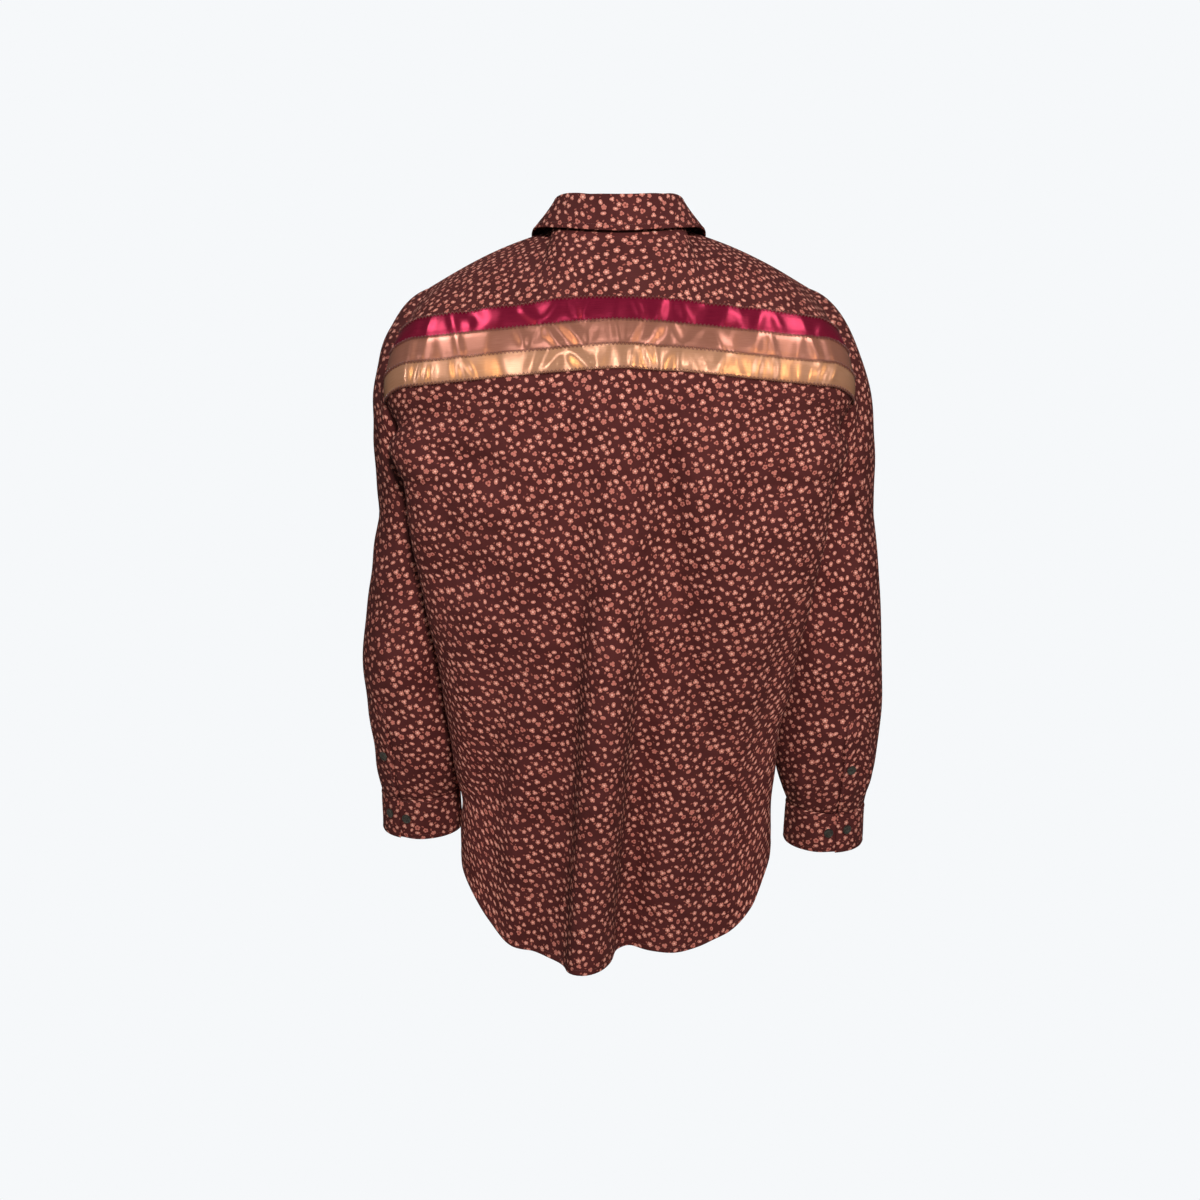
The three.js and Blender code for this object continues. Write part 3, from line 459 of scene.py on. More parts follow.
def spaced_grid(grid, row_line=None, column_line=None, **edges):
    """The same surface with its rows and columns a step apart, measured on two of its lines."""
    row_line = grid.shape[1] // 2 if row_line is None else row_line
    column_line = grid.shape[0] // 2 if column_line is None else column_line
    spots = []
    for line in (grid[:, row_line], grid[column_line]):
        run = run_lengths(line)
        spots.append(np.interp(spaced(run[-1], **edges) * run[-1], run, np.arange(len(run))))
    return at_spots(grid, *spots)


def normals_of(grid, closed=False):
    down = np.gradient(grid, axis=0)
    if closed:
        ring = np.concatenate([grid[:, -2:-1], grid, grid[:, 1:2]], axis=1)
        across = (ring[:, 2:] - ring[:, :-2]) / 2
    else:
        across = np.gradient(grid, axis=1)
    normal = np.cross(down, across)
    return normal / np.maximum(length_of(normal), 1e-9)[..., None]


def flat_places(grid, origin_column, spread_row=None, own_columns=False):
    """Where each point lies on the flat cloth: along the weft and down the warp, in millimetres.
    Above spread_row the columns keep the places that they have there. With own_columns, each
    column is as long on the cloth as on the piece, as on a collar with long points."""
    across = run_lengths(grid)
    across = across - across[:, origin_column:origin_column + 1]
    down = run_lengths(grid.swapaxes(0, 1)).T
    if own_columns:
        return np.stack([across, down], -1)
    if spread_row is None:
        level = down[:, origin_column:origin_column + 1]
        return np.stack([across, np.repeat(level, grid.shape[1], 1)], -1)
    down = down - down[spread_row]
    level = down[:, origin_column:origin_column + 1]
    above = np.arange(len(grid))[:, None] < spread_row
    across = np.where(above, across[spread_row], across)
    return np.stack([across, np.where(above, down, np.repeat(level, grid.shape[1], 1))], -1)


# ---- creases ---------------------------------------------------------------------------------
# Each crease is a soft trough (height below 0) or ridge between two places, tapered at both
# ends, given in the two coordinates that its panel names.

CREASE_COLUMNS = ("x0", "y0", "x1", "y1", "width", "height")


def crease_heights(a, b, creases):
    total = np.zeros_like(a)
    for row in creases:
        c = dict(zip(CREASE_COLUMNS, row))
        run = np.array([c["x1"] - c["x0"], c["y1"] - c["y0"]], float)
        length = np.hypot(*run)
        along = ((a - c["x0"]) * run[0] + (b - c["y0"]) * run[1]) / length**2
        bow = min(0.06 * length, 5.0) * np.sin(math.pi * np.clip(along, 0, 1))
        aside = ((a - c["x0"]) * run[1] - (b - c["y0"]) * run[0]) / length + bow
        taper = np.where((along > 0) & (along < 1), np.sin(math.pi * np.clip(along, 0, 1)) ** 0.8, 0)
        total += c["height"] * taper * np.exp(-(aside / (c["width"] / 2)) ** 2)
    return total


def slack(u, v, reach, height, seed):
    """The uneven swells of limp cloth, in millimetres."""
    draw = np.random.default_rng(seed)
    total = np.zeros_like(u)
    for _ in range(9):
        angle = draw.uniform(0, math.pi)
        wave = reach * draw.uniform(0.6, 1.6)
        phase = draw.uniform(0, 2 * math.pi)
        total += np.sin((u * math.cos(angle) + v * math.sin(angle)) * 2 * math.pi / wave + phase)
    return total * height / 3


ANOTHER_PLACE = np.array([1370, 610])


def cut_elsewhere(flat):
    """A mirrored piece is cut from another place of the same cloth, so its print isn't mirrored."""
    return flat * np.array([-1, 1]) + ANOTHER_PLACE


def from_edges(grid, sides):
    """Distance of each point from the nearest of the named edges of its grid."""
    across = run_lengths(grid)
    down = run_lengths(grid.swapaxes(0, 1)).T
    edges = dict(top=down, foot=down[-1] - down, start=across, end=across[:, -1:] - across)
    return np.min([edges[side] for side in sides], axis=0)


def rolled(distance, depth=0.7, width=1.3):
    """How far a seamed edge turns in towards the inside."""
    return -depth * np.exp(-(distance / width) ** 2)


# ---- pieces ----------------------------------------------------------------------------------

def ride(piece, slot, *nodes):
    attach(piece, "root")
    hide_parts(*nodes)
    return piece


def finished(piece):
    """The piece with its modifiers applied."""
    depsgraph = bpy.context.evaluated_depsgraph_get()
    mesh = bpy.data.meshes.new_from_object(piece.evaluated_get(depsgraph), depsgraph=depsgraph)
    piece.modifiers.clear()
    piece.data = mesh
    mesh.name = piece.name
    return piece


def cloth_piece(name, grids, flats, wall, materials, closed=False, mirrored=False):
    """A thin wall whose outer side is a few grids that share their edges. The places on the
    flat cloth become UVs, and the inner side has a material of its own."""
    at, faces, places, first = [], [], [], 0
    for grid, flat in zip(grids, flats):
        rows, columns = grid.shape[:2]
        used = columns - 1 if closed else columns
        i, j = (n.ravel() for n in np.indices((rows - 1, columns - 1)))
        corners = [(i, j), (i + 1, j), (i + 1, j + 1), (i, j + 1)]
        if mirrored:
            corners.reverse()
        faces.append(np.stack([first + m * used + n % used for m, n in corners], axis=-1))
        places.append(np.stack([flat[m, n] for m, n in corners], axis=1))
        at.append(grid[:, :used].reshape(-1, 3))
        first += rows * used
    mesh = bpy.data.meshes.new(name)
    mesh.from_pydata((np.concatenate(at) * MM).tolist(), [], np.concatenate(faces).tolist())
    uv_layer = mesh.uv_layers.new(name="cut")
    uv_layer.data.foreach_set("uv", (np.concatenate(places) * MM).ravel())
    bm = bmesh.new()
    bm.from_mesh(mesh)
    bmesh.ops.remove_doubles(bm, verts=bm.verts, dist=0.01 * MM)
    for face in bm.faces:
        face.smooth = True
    bm.to_mesh(mesh)
    bm.free()
    for material in materials:
        mesh.materials.append(material)
    piece = bpy.data.objects.new(f"sewn_{name}", mesh)
    bpy.context.collection.objects.link(piece)
    thicken = piece.modifiers.new("wall", "SOLIDIFY")
    thicken.thickness = wall * MM
    thicken.offset = -1
    thicken.material_offset = len(materials) - 1
    return finished(piece)


# ---- the body's panels -----------------------------------------------------------------------

# Across (x) and height (z) of both ends, width and height, for the back and yoke.
BACK_CREASES = [
    (-12, -110, 40, -1080, 56, 17.0),    # the long fold's rounded ridge
    (30, -190, 78, -1080, 30, -12.0),    # and the hollows on both its sides
    (-40, -300, -2, -1080, 32, -14.0),
    (-28, -100, -98, -580, 34, -14.0),   # the slack that runs out to the right hip
    (-62, -110, -150, -460, 60, 11.0),
    (-92, -430, -148, -740, 44, -9.0),
    (52, -140, 46, -256, 20, -4.4),
    (70, -140, 90, -222, 20, -4.0),
    (-66, -150, -88, -240, 26, -1.0),
    (104, -280, 176, -288, 44, 8.0),     # short pulls behind the left arm
    (108, -244, 212, -222, 28, -9.0),
    (120, -336, 196, -362, 28, -7.0),
    (170, -54, 136, -96, 16, -2.8),      # dimples over the ribbons
    (118, -38, 100, -84, 15, -2.8),
    (-134, -46, -116, -84, 15, -2.8),
    (-60, -52, -48, -92, 18, -1.6),
    (186, -640, 120, -560, 36, -5.6),
    (-180, -400, -140, -720, 34, -7.0),
    (-62, -560, -70, -900, 40, 6.0),
    (-104, -600, -120, -860, 34, -6.0),
    (150, -330, 168, -800, 50, 7.0),
    (98, -480, 122, -900, 30, 6.0),
    (128, -420, 146, -800, 34, -7.0),
]
FRONT_CREASES = [
    (-40, -150, -96, -420, 40, -5.7),
    (-150, -250, -90, -330, 30, -4.9),
    (-158, -292, -104, -352, 30, 4.6),
    (-30, -420, -44, -740, 34, -4.6),
    (-134, -520, -150, -680, 30, -4.2),
    (46, -140, 104, -380, 40, -5.7),
    (150, -258, 92, -320, 30, -4.9),
    (156, -300, 98, -372, 30, 4.2),
    (34, -470, 52, -748, 36, -4.9),
    (136, -500, 146, -690, 30, -4.2),
]


def shares_by_rows(shares, rows):
    return np.meshgrid(np.asarray(shares, float), np.asarray(rows, float))


def back_relief(grid):
    x, z = grid[..., 0], grid[..., 2]
    return crease_heights(x, z, BACK_CREASES) + slack(x, z, 120, 1.3, 3)


def front_relief(grid):
    x, z = grid[..., 0], grid[..., 2]
    return crease_heights(x, z, FRONT_CREASES) + slack(x, z, 110, 1.0, 8)


def hem_ridge(distance, turned=7.0, height=0.5):
    """The doubled cloth of a narrow turned hem."""
    return height * (1 - smooth((distance - turned + 1) / 1.6))


def moved_out(grid, height, closed=False, mirrored=False):
    return grid + normals_of(grid, closed) * (height * (-1 if mirrored else 1))[..., None]


across_back = np.linspace(1, -1, 101)
back_grid = np.concatenate([
    upper_back_point(*shares_by_rows(across_back, np.linspace(0, 1, 31))),
    lower_point(*shares_by_rows(across_back, np.linspace(0, 1, 61)[1:]), "back"),
])
BACK_PLAIN = spaced_grid(back_grid, column_line=40)
yoke_back_grid = yoke_back_point(*shares_by_rows(across_back, np.linspace(1, 0, 41)))


def back_finished(plain):
    seams = from_edges(plain, ("top", "start", "end"))
    at_sides = from_edges(plain, ("start", "end"))
    hem = from_edges(plain, ("foot",))
    height = back_relief(plain) * smooth(at_sides / 14) + rolled(seams) + hem_ridge(hem)
    return moved_out(plain, height)


back_at = back_finished(BACK_PLAIN)
back_flat = flat_places(back_at, back_at.shape[1] // 2)

# The yoke: over the back to the shoulder line, and on to its front seams on both sides.
yoke_grid = spaced_grid(yoke_back_grid, column_line=40)


def yoke_front_grid(side):
    """From the shoulder line to the front seam, on the columns of the yoke's back."""
    run = run_lengths(yoke_grid[0])
    share_there = np.interp(run, run_lengths(yoke_back_grid[0]), across_back)
    columns = np.where(side * share_there >= SHOULDER_SHARE - 0.004)[0]
    shares = np.clip(np.abs(share_there[columns]), SHOULDER_SHARE, 1) * side
    falls = spaced(30)[::-1]
    grid = yoke_front_point(*shares_by_rows(shares, falls))
    grid[-1] = yoke_grid[0, columns]
    return grid, columns


yoke_left_grid, left_columns = yoke_front_grid(1)
yoke_right_grid, right_columns = yoke_front_grid(-1)


def yoke_relief(grid):
    return back_relief(grid) * smooth(from_edges(grid, ("start", "end")) / 14) * smooth(
        from_edges(grid, ("top",)) / 30)


yoke_seams = rolled(from_edges(yoke_grid, ("foot", "start", "end")))
yoke_back_at = moved_out(yoke_grid, yoke_relief(yoke_grid) + yoke_seams)


def yoke_front_finished(grid, outer_edge):
    return moved_out(grid, rolled(from_edges(grid, ("top", outer_edge))))


yoke_left_at = yoke_front_finished(yoke_left_grid, "start")
yoke_right_at = yoke_front_finished(yoke_right_grid, "end")
yoke_left_at[-1], yoke_right_at[-1] = yoke_back_at[0, left_columns], yoke_back_at[0, right_columns]


def yoke_flats():
    """The yoke's columns keep the spacing of its back seam, and its warp runs across."""
    across = run_lengths(yoke_grid)[-1]
    across = across - across[len(across) // 2]
    down = run_lengths(yoke_grid.swapaxes(0, 1)).T
    down = down - down[-1]
    flats = [np.stack([down, np.repeat(-across[None], len(down), 0)], -1)]
    for grid, columns in ((yoke_left_grid, left_columns), (yoke_right_grid, right_columns)):
        on = run_lengths(grid.swapaxes(0, 1)).T
        on = on - on[-1] + down[0, columns]
        flats.append(np.stack([on, np.repeat(-across[None, columns], len(on), 0)], -1))
    return flats


# The fronts. The right one lies under the left by its wall at the centre.
front_shares = np.concatenate([[-FRONT_OVERLAP_SHARE, -FRONT_OVERLAP_SHARE / 2], np.linspace(0, 1, 61)])


def front_grid(side, dip=2.1):
    share, fall = shares_by_rows(front_shares, np.linspace(0, 1, 31))
    lower_share, lower_fall = shares_by_rows(front_shares, np.linspace(0, 1, 61)[1:])
    lower = lower_point(lower_share, lower_fall, "front", side)
    grid = np.concatenate([upper_front_point(share, fall), lower])
    if side < 0:
        under = dip * (1 - smooth((front_shares - FRONT_OVERLAP_SHARE) / 0.12))
        grid = (grid + points(0, under, 0)) * np.array([-1, 1, 1])
    return grid


def front_finished(plain, mirrored):
    seams = from_edges(plain, ("top", "end"))
    closing = from_edges(plain, ("start",))
    hem = from_edges(plain, ("foot",))
    free = smooth(from_edges(plain, ("end", "top")) / 14) * smooth(closing / 60)
    height = front_relief(plain) * free + rolled(seams) + hem_ridge(hem)
    return moved_out(plain, height, mirrored=mirrored)


front_plain = {1: spaced_grid(front_grid(1), row_line=30), -1: spaced_grid(front_grid(-1), row_line=30)}
front_at = {side: front_finished(plain, side < 0) for side, plain in front_plain.items()}
front_flat = {side: flat_places(plain, 0) for side, plain in front_plain.items()}


# ---- sleeves ---------------------------------------------------------------------------------

# Distance round from the middle of the sleeve's back, outwards, and height.
ELBOW_CREASES = [
    (96, -410, 132, -452, 18, -3.0),         # bends in the crook of the elbow
    (90, -440, 130, -478, 18, 2.6),
    (-96, -420, -136, -450, 18, -3.0),
    (-84, -452, -130, -486, 18, 2.4),
    (80, -250, 120, -330, 26, -2.4),
]
SLEEVE_CREASES = dict(
    left=[
        (-6, -196, -22, -372, 20, -5.0),     # falls from the armpit behind the body
        (14, -190, 2, -300, 22, 2.4),
        (34, -498, -24, -546, 15, -2.4),     # drags above the cuff
        (30, -524, -22, -572, 15, 2.2),
        (16, -556, 8, -604, 12, -2.0),
        (-14, -590, -18, -632, 13, -2.6),
        (-34, -580, -38, -632, 14, 2.2),
        (40, -400, -10, -452, 26, -1.8),
        (60, -330, 20, -392, 26, 1.8),
        (-30, -430, -52, -520, 24, -2.6),
        (100, -500, 140, -540, 18, -2.0),
        (-110, -560, -96, -625, 14, -2.4),
        (-140, -570, -132, -628, 14, 2.0),
        (112, -580, 106, -630, 14, -2.2),
        (140, -575, 136, -628, 14, 2.0),
    ],
    right=[
        (-22, -306, 30, -262, 13, 4.0),      # pulls from the armpit across the upper arm
        (-16, -322, 34, -282, 13, -4.0),
        (-24, -290, 26, -246, 14, -2.4),
        (-4, -300, -30, -372, 18, -3.4),
        (10, -336, 40, -300, 18, 2.0),
        (-28, -528, 40, -536, 16, -1.8),
        (-24, -546, 36, -552, 14, 1.8),
        (18, -560, 34, -580, 12, -2.4),
        (38, -560, 48, -640, 12, 2.4),
        (30, -590, 30, -648, 11, -2.6),
        (-20, -600, -24, -650, 12, -2.6),
        (-40, -590, -42, -650, 13, 2.2),
        (40, -420, -14, -470, 26, -1.6),
        (-112, -575, -100, -640, 14, -2.4),
        (-142, -580, -136, -645, 14, 2.0),
        (110, -590, 106, -646, 14, -2.2),
        (140, -585, 138, -646, 14, 2.0),
    ],
)
ARMPIT_COLUMN = 12               # of the CAD's 19 round a sleeve, where its underarm seam runs
DEGREE_ROUND = 0.9               # of a sleeve's girth, in millimetres
SLIT_REACH = 98                  # length of the cuff opening above the cuff
SLIT_DEPTH, SLIT_WIDTH = 3.2, 1.8

whole_armhole = armhole_line(0, len(ARMHOLE), 480)
armpit_run = run_lengths(whole_armhole)[480 * ARMHOLE_ROWS["armpit"] // len(ARMHOLE)]


def armhole_turns():
    """Turn at each of the CAD's columns round the sleeve."""
    one = np.ones(1)
    rises = (1, 0.83, 0.66, 0.49, RIBBON_RISE, RIBBON_RISE / 3)
    falls = (0, RIBBON_FALL / 3, RIBBON_FALL, 0.43, 0.62, 0.81)
    loop = [yoke_back_point(one, one * rise)[0] for rise in rises]
    loop += [upper_back_point(one, one * fall)[0] for fall in falls]
    loop += [upper_front_point(one, one * fall)[0] for fall in (1, 0.8, 0.6, 0.4, 0.2)]
    loop += [yoke_front_point(one, one * fall)[0] for fall in (1, 0.5, 0)]
    run = run_lengths(np.array(loop))
    half, whole = run[ARMPIT_COLUMN], run[-1]
    return np.where(run <= half, 180 * run / half, 180 + 180 * (run - half) / (whole - half))


SEAM_TURNS = armhole_turns()


def armhole_at_turn(turn):
    run = run_lengths(whole_armhole)
    down_back = armpit_run * turn / 180
    up_front = armpit_run + (run[-1] - armpit_run) * (turn - 180) / 180
    target = np.where(turn <= 180, down_back, up_front)
    return points(*[np.interp(target, run, whole_armhole[:, axis]) for axis in range(3)])


def sleeve_columns(step=0.21):
    """Column numbers round the sleeve from the armpit to the armpit, closer at the opening."""
    even = np.arange(ARMPIT_COLUMN, ARMPIT_COLUMN + SLEEVE_COLUMNS + step / 2, step)
    even = np.linspace(even[0], ARMPIT_COLUMN + SLEEVE_COLUMNS, len(even))
    slit = SLIT_COLUMN + SLEEVE_COLUMNS
    near_slit = slit + np.array([-0.2, -0.1, -0.04, 0, 0.04, 0.1, 0.2])
    even = even[np.min(np.abs(even[:, None] - near_slit), axis=1) > 0.08]
    return np.sort(np.concatenate([even, near_slit]))


def sleeve_grids(sleeve):
    """Outer points of a sleeve, the turn at each, and its rows in the cap and arm."""
    rings, side, slit_turn = sleeve["rings"], sleeve["side"], sleeve["slit_turn"]
    top, foot = rings.keys[-1], rings.keys[0]
    column = sleeve_columns()
    number = column % SLEEVE_COLUMNS
    seam_turn = np.interp(number, np.arange(SLEEVE_COLUMNS + 1), SEAM_TURNS)
    settled = slit_turn + (number - SLIT_COLUMN) * 360 / SLEEVE_COLUMNS
    start = armhole_at_turn(seam_turn)
    end = sleeve_ring_point(rings.at(top), seam_turn, top)
    flow = CAP_FLOW.at(seam_turn)
    flow_in = points(flow["out"], flow["back"], -flow["down"]) * flow["reach"][:, None]
    flow_out = points(0, 0, -np.maximum(30, 0.7 * length_of(start - end)))
    t = spaced(150)[:-2, None, None]
    cap = hermite(start, end, flow_in, flow_out, t)
    z = top + (foot - top) * spaced(top - foot)[2:, None]
    share = (z - top) / (foot - top)
    turn = seam_turn + (settled - seam_turn) * smooth(share * 1.6)
    arm = sleeve_ring_point(rings.at(z), turn, z)
    grid = np.concatenate([cap, arm])
    turns = np.concatenate([np.repeat(seam_turn[None], len(cap), 0), turn])
    return grid * np.array([side, 1, 1]), turns, len(cap)


def sleeve_relief(name, grid, turns):
    around = (90 - turns + 180) % 360 * DEGREE_ROUND - 180 * DEGREE_ROUND
    z = grid[..., 2]
    height = crease_heights(around, z, SLEEVE_CREASES[name] + ELBOW_CREASES)
    seed = 5 if name == "left" else 6
    return height + slack(around, z, 80, 0.8, seed) * smooth((160 - np.abs(around)) / 40)


for name, sleeve in SLEEVES.items():
    mirrored = sleeve["side"] < 0
    plain, turns, cap_rows = sleeve_grids(sleeve)
    from_ends = np.minimum(from_edges(plain, ("top",)), from_edges(plain, ("foot",)))
    from_slit = np.abs(turns - sleeve["slit_turn"]) * DEGREE_ROUND
    above_cuff = plain[..., 2] - plain[-1, 0, 2]
    height = sleeve_relief(name, plain, turns) * smooth(from_edges(plain, ("top",)) / 16)
    height *= 0.4 + 0.6 * smooth(from_edges(plain, ("foot",)) / 12)
    height += rolled(from_ends)
    height -= SLIT_DEPTH * np.exp(-(from_slit / SLIT_WIDTH) ** 2) * smooth((SLIT_REACH - above_cuff) / 12)
    grid = moved_out(plain, height, closed=True, mirrored=mirrored)
    grid[:, -1] = grid[:, 0]
    flat = flat_places(plain, int(np.argmin(np.abs(sleeve_columns() - SLEEVE_COLUMNS))), cap_rows)
    sleeve.update(plain=plain, turns=turns, grid=grid, flat=flat, mirrored=mirrored)


# ---- what lies on a panel --------------------------------------------------------------------


def on_top(plain, height, wall, lift=0.4, mirrored=False):
    return moved_out(plain, height + lift + wall, mirrored=mirrored)


# Soft puckers of the satin between its rows of stitching: place across, width and height.
PUCKER_COLUMNS = ("x", "width", "height", "lean")
PUCKERS = dict(
    wine=[
        (208, 12, 0.8, 0.1), (194, 9, 1.1, 0.2), (168, 10, 1.2, -0.2), (150, 9, 0.5, 0.1),
        (118, 14, 0.4, 0.3), (92, 12, 1.0, -0.9), (70, 22, 1.6, 0.7), (48, 9, -1.2, -0.6),
        (34, 10, 0.8, 0.5), (4, 16, 0.9, 0.2), (-18, 10, 1.1, -0.4), (-40, 16, 1.3, 0.4),
        (-64, 12, 1.0, -0.5), (-84, 10, -0.9, 0.5), (-104, 18, 1.5, 0.3), (-126, 10, -0.9, -0.3),
        (-140, 12, 1.2, 0.3), (-158, 12, 1.0, -0.4), (-186, 14, 1.2, -0.2), (-206, 12, 1.1, 0.2),
    ],
    rose=[
        (212, 10, 0.8, 0.1), (196, 10, 1.2, 0.2), (180, 14, 0.7, -0.2), (162, 9, 1.3, -0.2),
        (132, 16, 0.4, 0.2), (98, 10, 0.9, -0.4), (84, 10, -0.9, 0.8), (68, 12, 1.3, -0.7),
        (46, 16, 1.6, -0.8), (28, 10, -0.8, 0.4), (2, 10, 0.9, -0.2), (-14, 9, 1.3, 0.4),
        (-34, 16, 1.4, 0.6), (-56, 12, 1.2, -0.4), (-74, 10, 1.0, 0.9), (-96, 18, 1.3, -0.5),
        (-116, 9, -0.9, 0.3), (-136, 14, 1.3, 0.4), (-152, 9, 1.3, -0.2), (-180, 12, 1.1, 0.2),
        (-196, 9, 1.4, -0.3), (-212, 12, 1.2, -0.2),
    ],
    gold=[
        (216, 12, 0.8, 0.1), (200, 8, 1.4, 0.3), (190, 10, 0.8, 0.1), (163, 10, 1.2, -0.1),
        (153, 8, 1.3, -0.5), (118, 18, 0.4, -0.2), (86, 14, 0.9, 0.3), (66, 18, 1.5, 0.7),
        (42, 20, 1.7, -0.9), (20, 12, -0.7, 0.4), (-13, 8, 1.4, 0.1), (-29, 12, 1.3, -0.3),
        (-58, 14, 1.3, 0.2), (-80, 10, -0.7, -0.3), (-102, 16, 1.4, 0.3), (-120, 9, -0.7, -0.2),
        (-138, 9, 1.3, 0.2), (-152, 9, 1.5, 0.1), (-180, 16, 0.6, 0.1), (-199, 9, 1.5, 0.3),
        (-214, 9, 1.3, 0.4),
    ],
)


LOWEST_PUCKER = 0.3              # so that a ribbon doesn't sink into the cloth under it


def pucker_heights(plain, puckers):
    x = plain[..., 0]
    down = from_edges(plain, ("top",))
    width = down[-1:]
    middle = np.sin(math.pi * np.clip(down / width, 0, 1)) ** 0.7
    total = np.zeros_like(x)
    for row in puckers:
        p = dict(zip(PUCKER_COLUMNS, row))
        aside = x - p["x"] - p["lean"] * (down - width / 2)
        total += p["height"] * np.exp(-(aside / (p["width"] / 2)) ** 2)
    return np.maximum(total * (0.35 + 0.65 * middle), -LOWEST_PUCKER)


def ribbon_plains():
    wine_rises = np.linspace(RIBBON_RISE, RIBBON_RISE / 3, 9)
    rose_rises = np.linspace(RIBBON_RISE / 3, 0, 5)
    rose_falls = np.linspace(0, RIBBON_FALL / 3, 5)[1:]
    gold_falls = np.linspace(RIBBON_FALL / 3, RIBBON_FALL, 9)
    shares = np.linspace(1, -1, 161)
    return dict(
        wine=yoke_back_point(*shares_by_rows(shares, wine_rises)),
        rose=np.concatenate([
            yoke_back_point(*shares_by_rows(shares, rose_rises)),
            upper_back_point(*shares_by_rows(shares, rose_falls)),
        ]),
        gold=upper_back_point(*shares_by_rows(shares, gold_falls)),
    )


RIBBON_ORDER = dict(wine=0.0, rose=0.25, gold=0.5)    # each laps over the one above by a hair
ribbon_plain = {
    name: spaced_grid(plain, column_line=4, near_edges=(0, 0.6, 1.8), step=2.4)
    for name, plain in ribbon_plains().items()
}


def ribbon_at(name):
    plain = ribbon_plain[name]
    at_ends = from_edges(plain, ("start", "end"))
    base = back_relief(plain) * smooth(at_ends / 14)
    selvedge = from_edges(plain, ("top", "foot"))
    stitched = -0.25 * np.exp(-((selvedge - 1.6) / 1.2) ** 2)
    height = base + pucker_heights(plain, PUCKERS[name]) * smooth(at_ends / 8) + stitched
    return on_top(plain, height, RIBBON, 0.35 + RIBBON_ORDER[name])


ribbon_grid = {name: ribbon_at(name) for name in ribbon_plain}


# ---- cuffs, sleeve plackets and collar -------------------------------------------------------

def cuff_grid(sleeve):
    """The band starts at its free edge on the opening, goes once round and ends under itself."""
    rings, side, slit_turn = sleeve["rings"], sleeve["side"], sleeve["slit_turn"]
    foot = rings.keys[0]
    all_turn = 360 + CUFF_OVERLAP_TURN
    around = spaced(all_turn * DEGREE_ROUND, near_edges=(0, 0.8, 2.0))
    falls = spaced(CUFF_LENGTH, near_edges=(0, 0.8, 2.0), step=3.2)
    gone, fall = np.meshgrid(all_turn * (1 - around), falls)
    tuck = (FOLDED + 1.0) * smooth((gone - 330) / 28)
    ring = sleeve_ring_point(rings.at(np.full_like(gone, foot)), slit_turn - gone, foot,
                             1.2 + CUFF_FLARE * fall - tuck)
    ring = ring + points(0, -CUFF_LEAN * fall, -SEAM_GAP - CUFF_LENGTH * fall)
    return ring * np.array([side, 1, 1]), gone


ALLOWANCE_IN, ALLOWANCE_UP = 2.6, 1.8


def cuff_finished(sleeve):
    plain, gone = cuff_grid(sleeve)
    edges = from_edges(plain, ("top", "foot", "start", "end"))
    z = plain[..., 2]
    padding = -0.5 * np.exp(-((edges - 6) / 1.6) ** 2)
    dents = crease_heights(gone * DEGREE_ROUND, z - z[:1], [
        (60, -2, 48, -44, 16, -1.2), (120, -8, 130, -48, 18, -1.4), (200, -4, 190, -46, 18, -1.3),
        (262, -2, 250, -40, 16, -1.3), (92, -48, 100, -8, 16, 0.9),
    ])
    height = rolled(edges, 0.8, 1.1) + padding + dents * smooth(edges / 8)
    band = moved_out(plain, height, mirrored=sleeve["mirrored"])
    # The seam allowance stands up inside the sleeve's end.
    inward = band[0].mean(0) - band[0]
    band[0] += ALLOWANCE_IN * inward / length_of(inward)[:, None] + points(0, 0, ALLOWANCE_UP)
    return band


def placket_grid(name, sleeve):
    """The strip on the outer side of the cuff opening, with a pointed upper end."""
    rings, side, slit_turn = sleeve["rings"], sleeve["side"], sleeve["slit_turn"]
    foot = rings.keys[0]
    turn_step = 360 / SLEEVE_COLUMNS
    width = 2 * turn_step * DEGREE_ROUND
    across = spaced(width, near_edges=(0, 0.7, 1.6), step=3)
    turn = slit_turn - 2 * turn_step * (1 - across)
    tall = PLACKET_LENGTH - 22 - 0.8 * width * np.abs(across - 0.5)
    share = spaced(PLACKET_LENGTH, near_edges=(0, 0.7, 1.6))[::-1]
    z = foot + share[:, None] * tall[None]
    turns = np.repeat(turn[None], len(share), 0)
    plain = sleeve_ring_point(rings.at(z), turns, z) * np.array([side, 1, 1])
    height = sleeve_relief(name, plain, turns) * (0.4 + 0.6 * smooth((z - foot) / 12))
    edges = from_edges(plain, ("top", "start", "end"))
    return on_top(plain, height + rolled(edges, 0.5, 0.9), 1.0, 0.5, mirrored=sleeve["mirrored"])


for name, sleeve in SLEEVES.items():
    sleeve["cuff"] = cuff_finished(sleeve)
    sleeve["placket"] = placket_grid(name, sleeve)


def collar_stand_grid():
    turns = STAND_END * (1 - 2 * spaced(420, near_edges=(0, 0.8, 2)))
    turn, rise = np.meshgrid(turns, spaced(STAND_HEIGHT, near_edges=(0, 0.8, 2))[::-1])
    return stand_point(turn, rise)


FOLD_OVER = Table("along out up", (0, -6, 2.2), (1, -5, 2.9), (2, -3.7, 3.2), (3, -2.6, 2.8), (4, -1.8, 2))


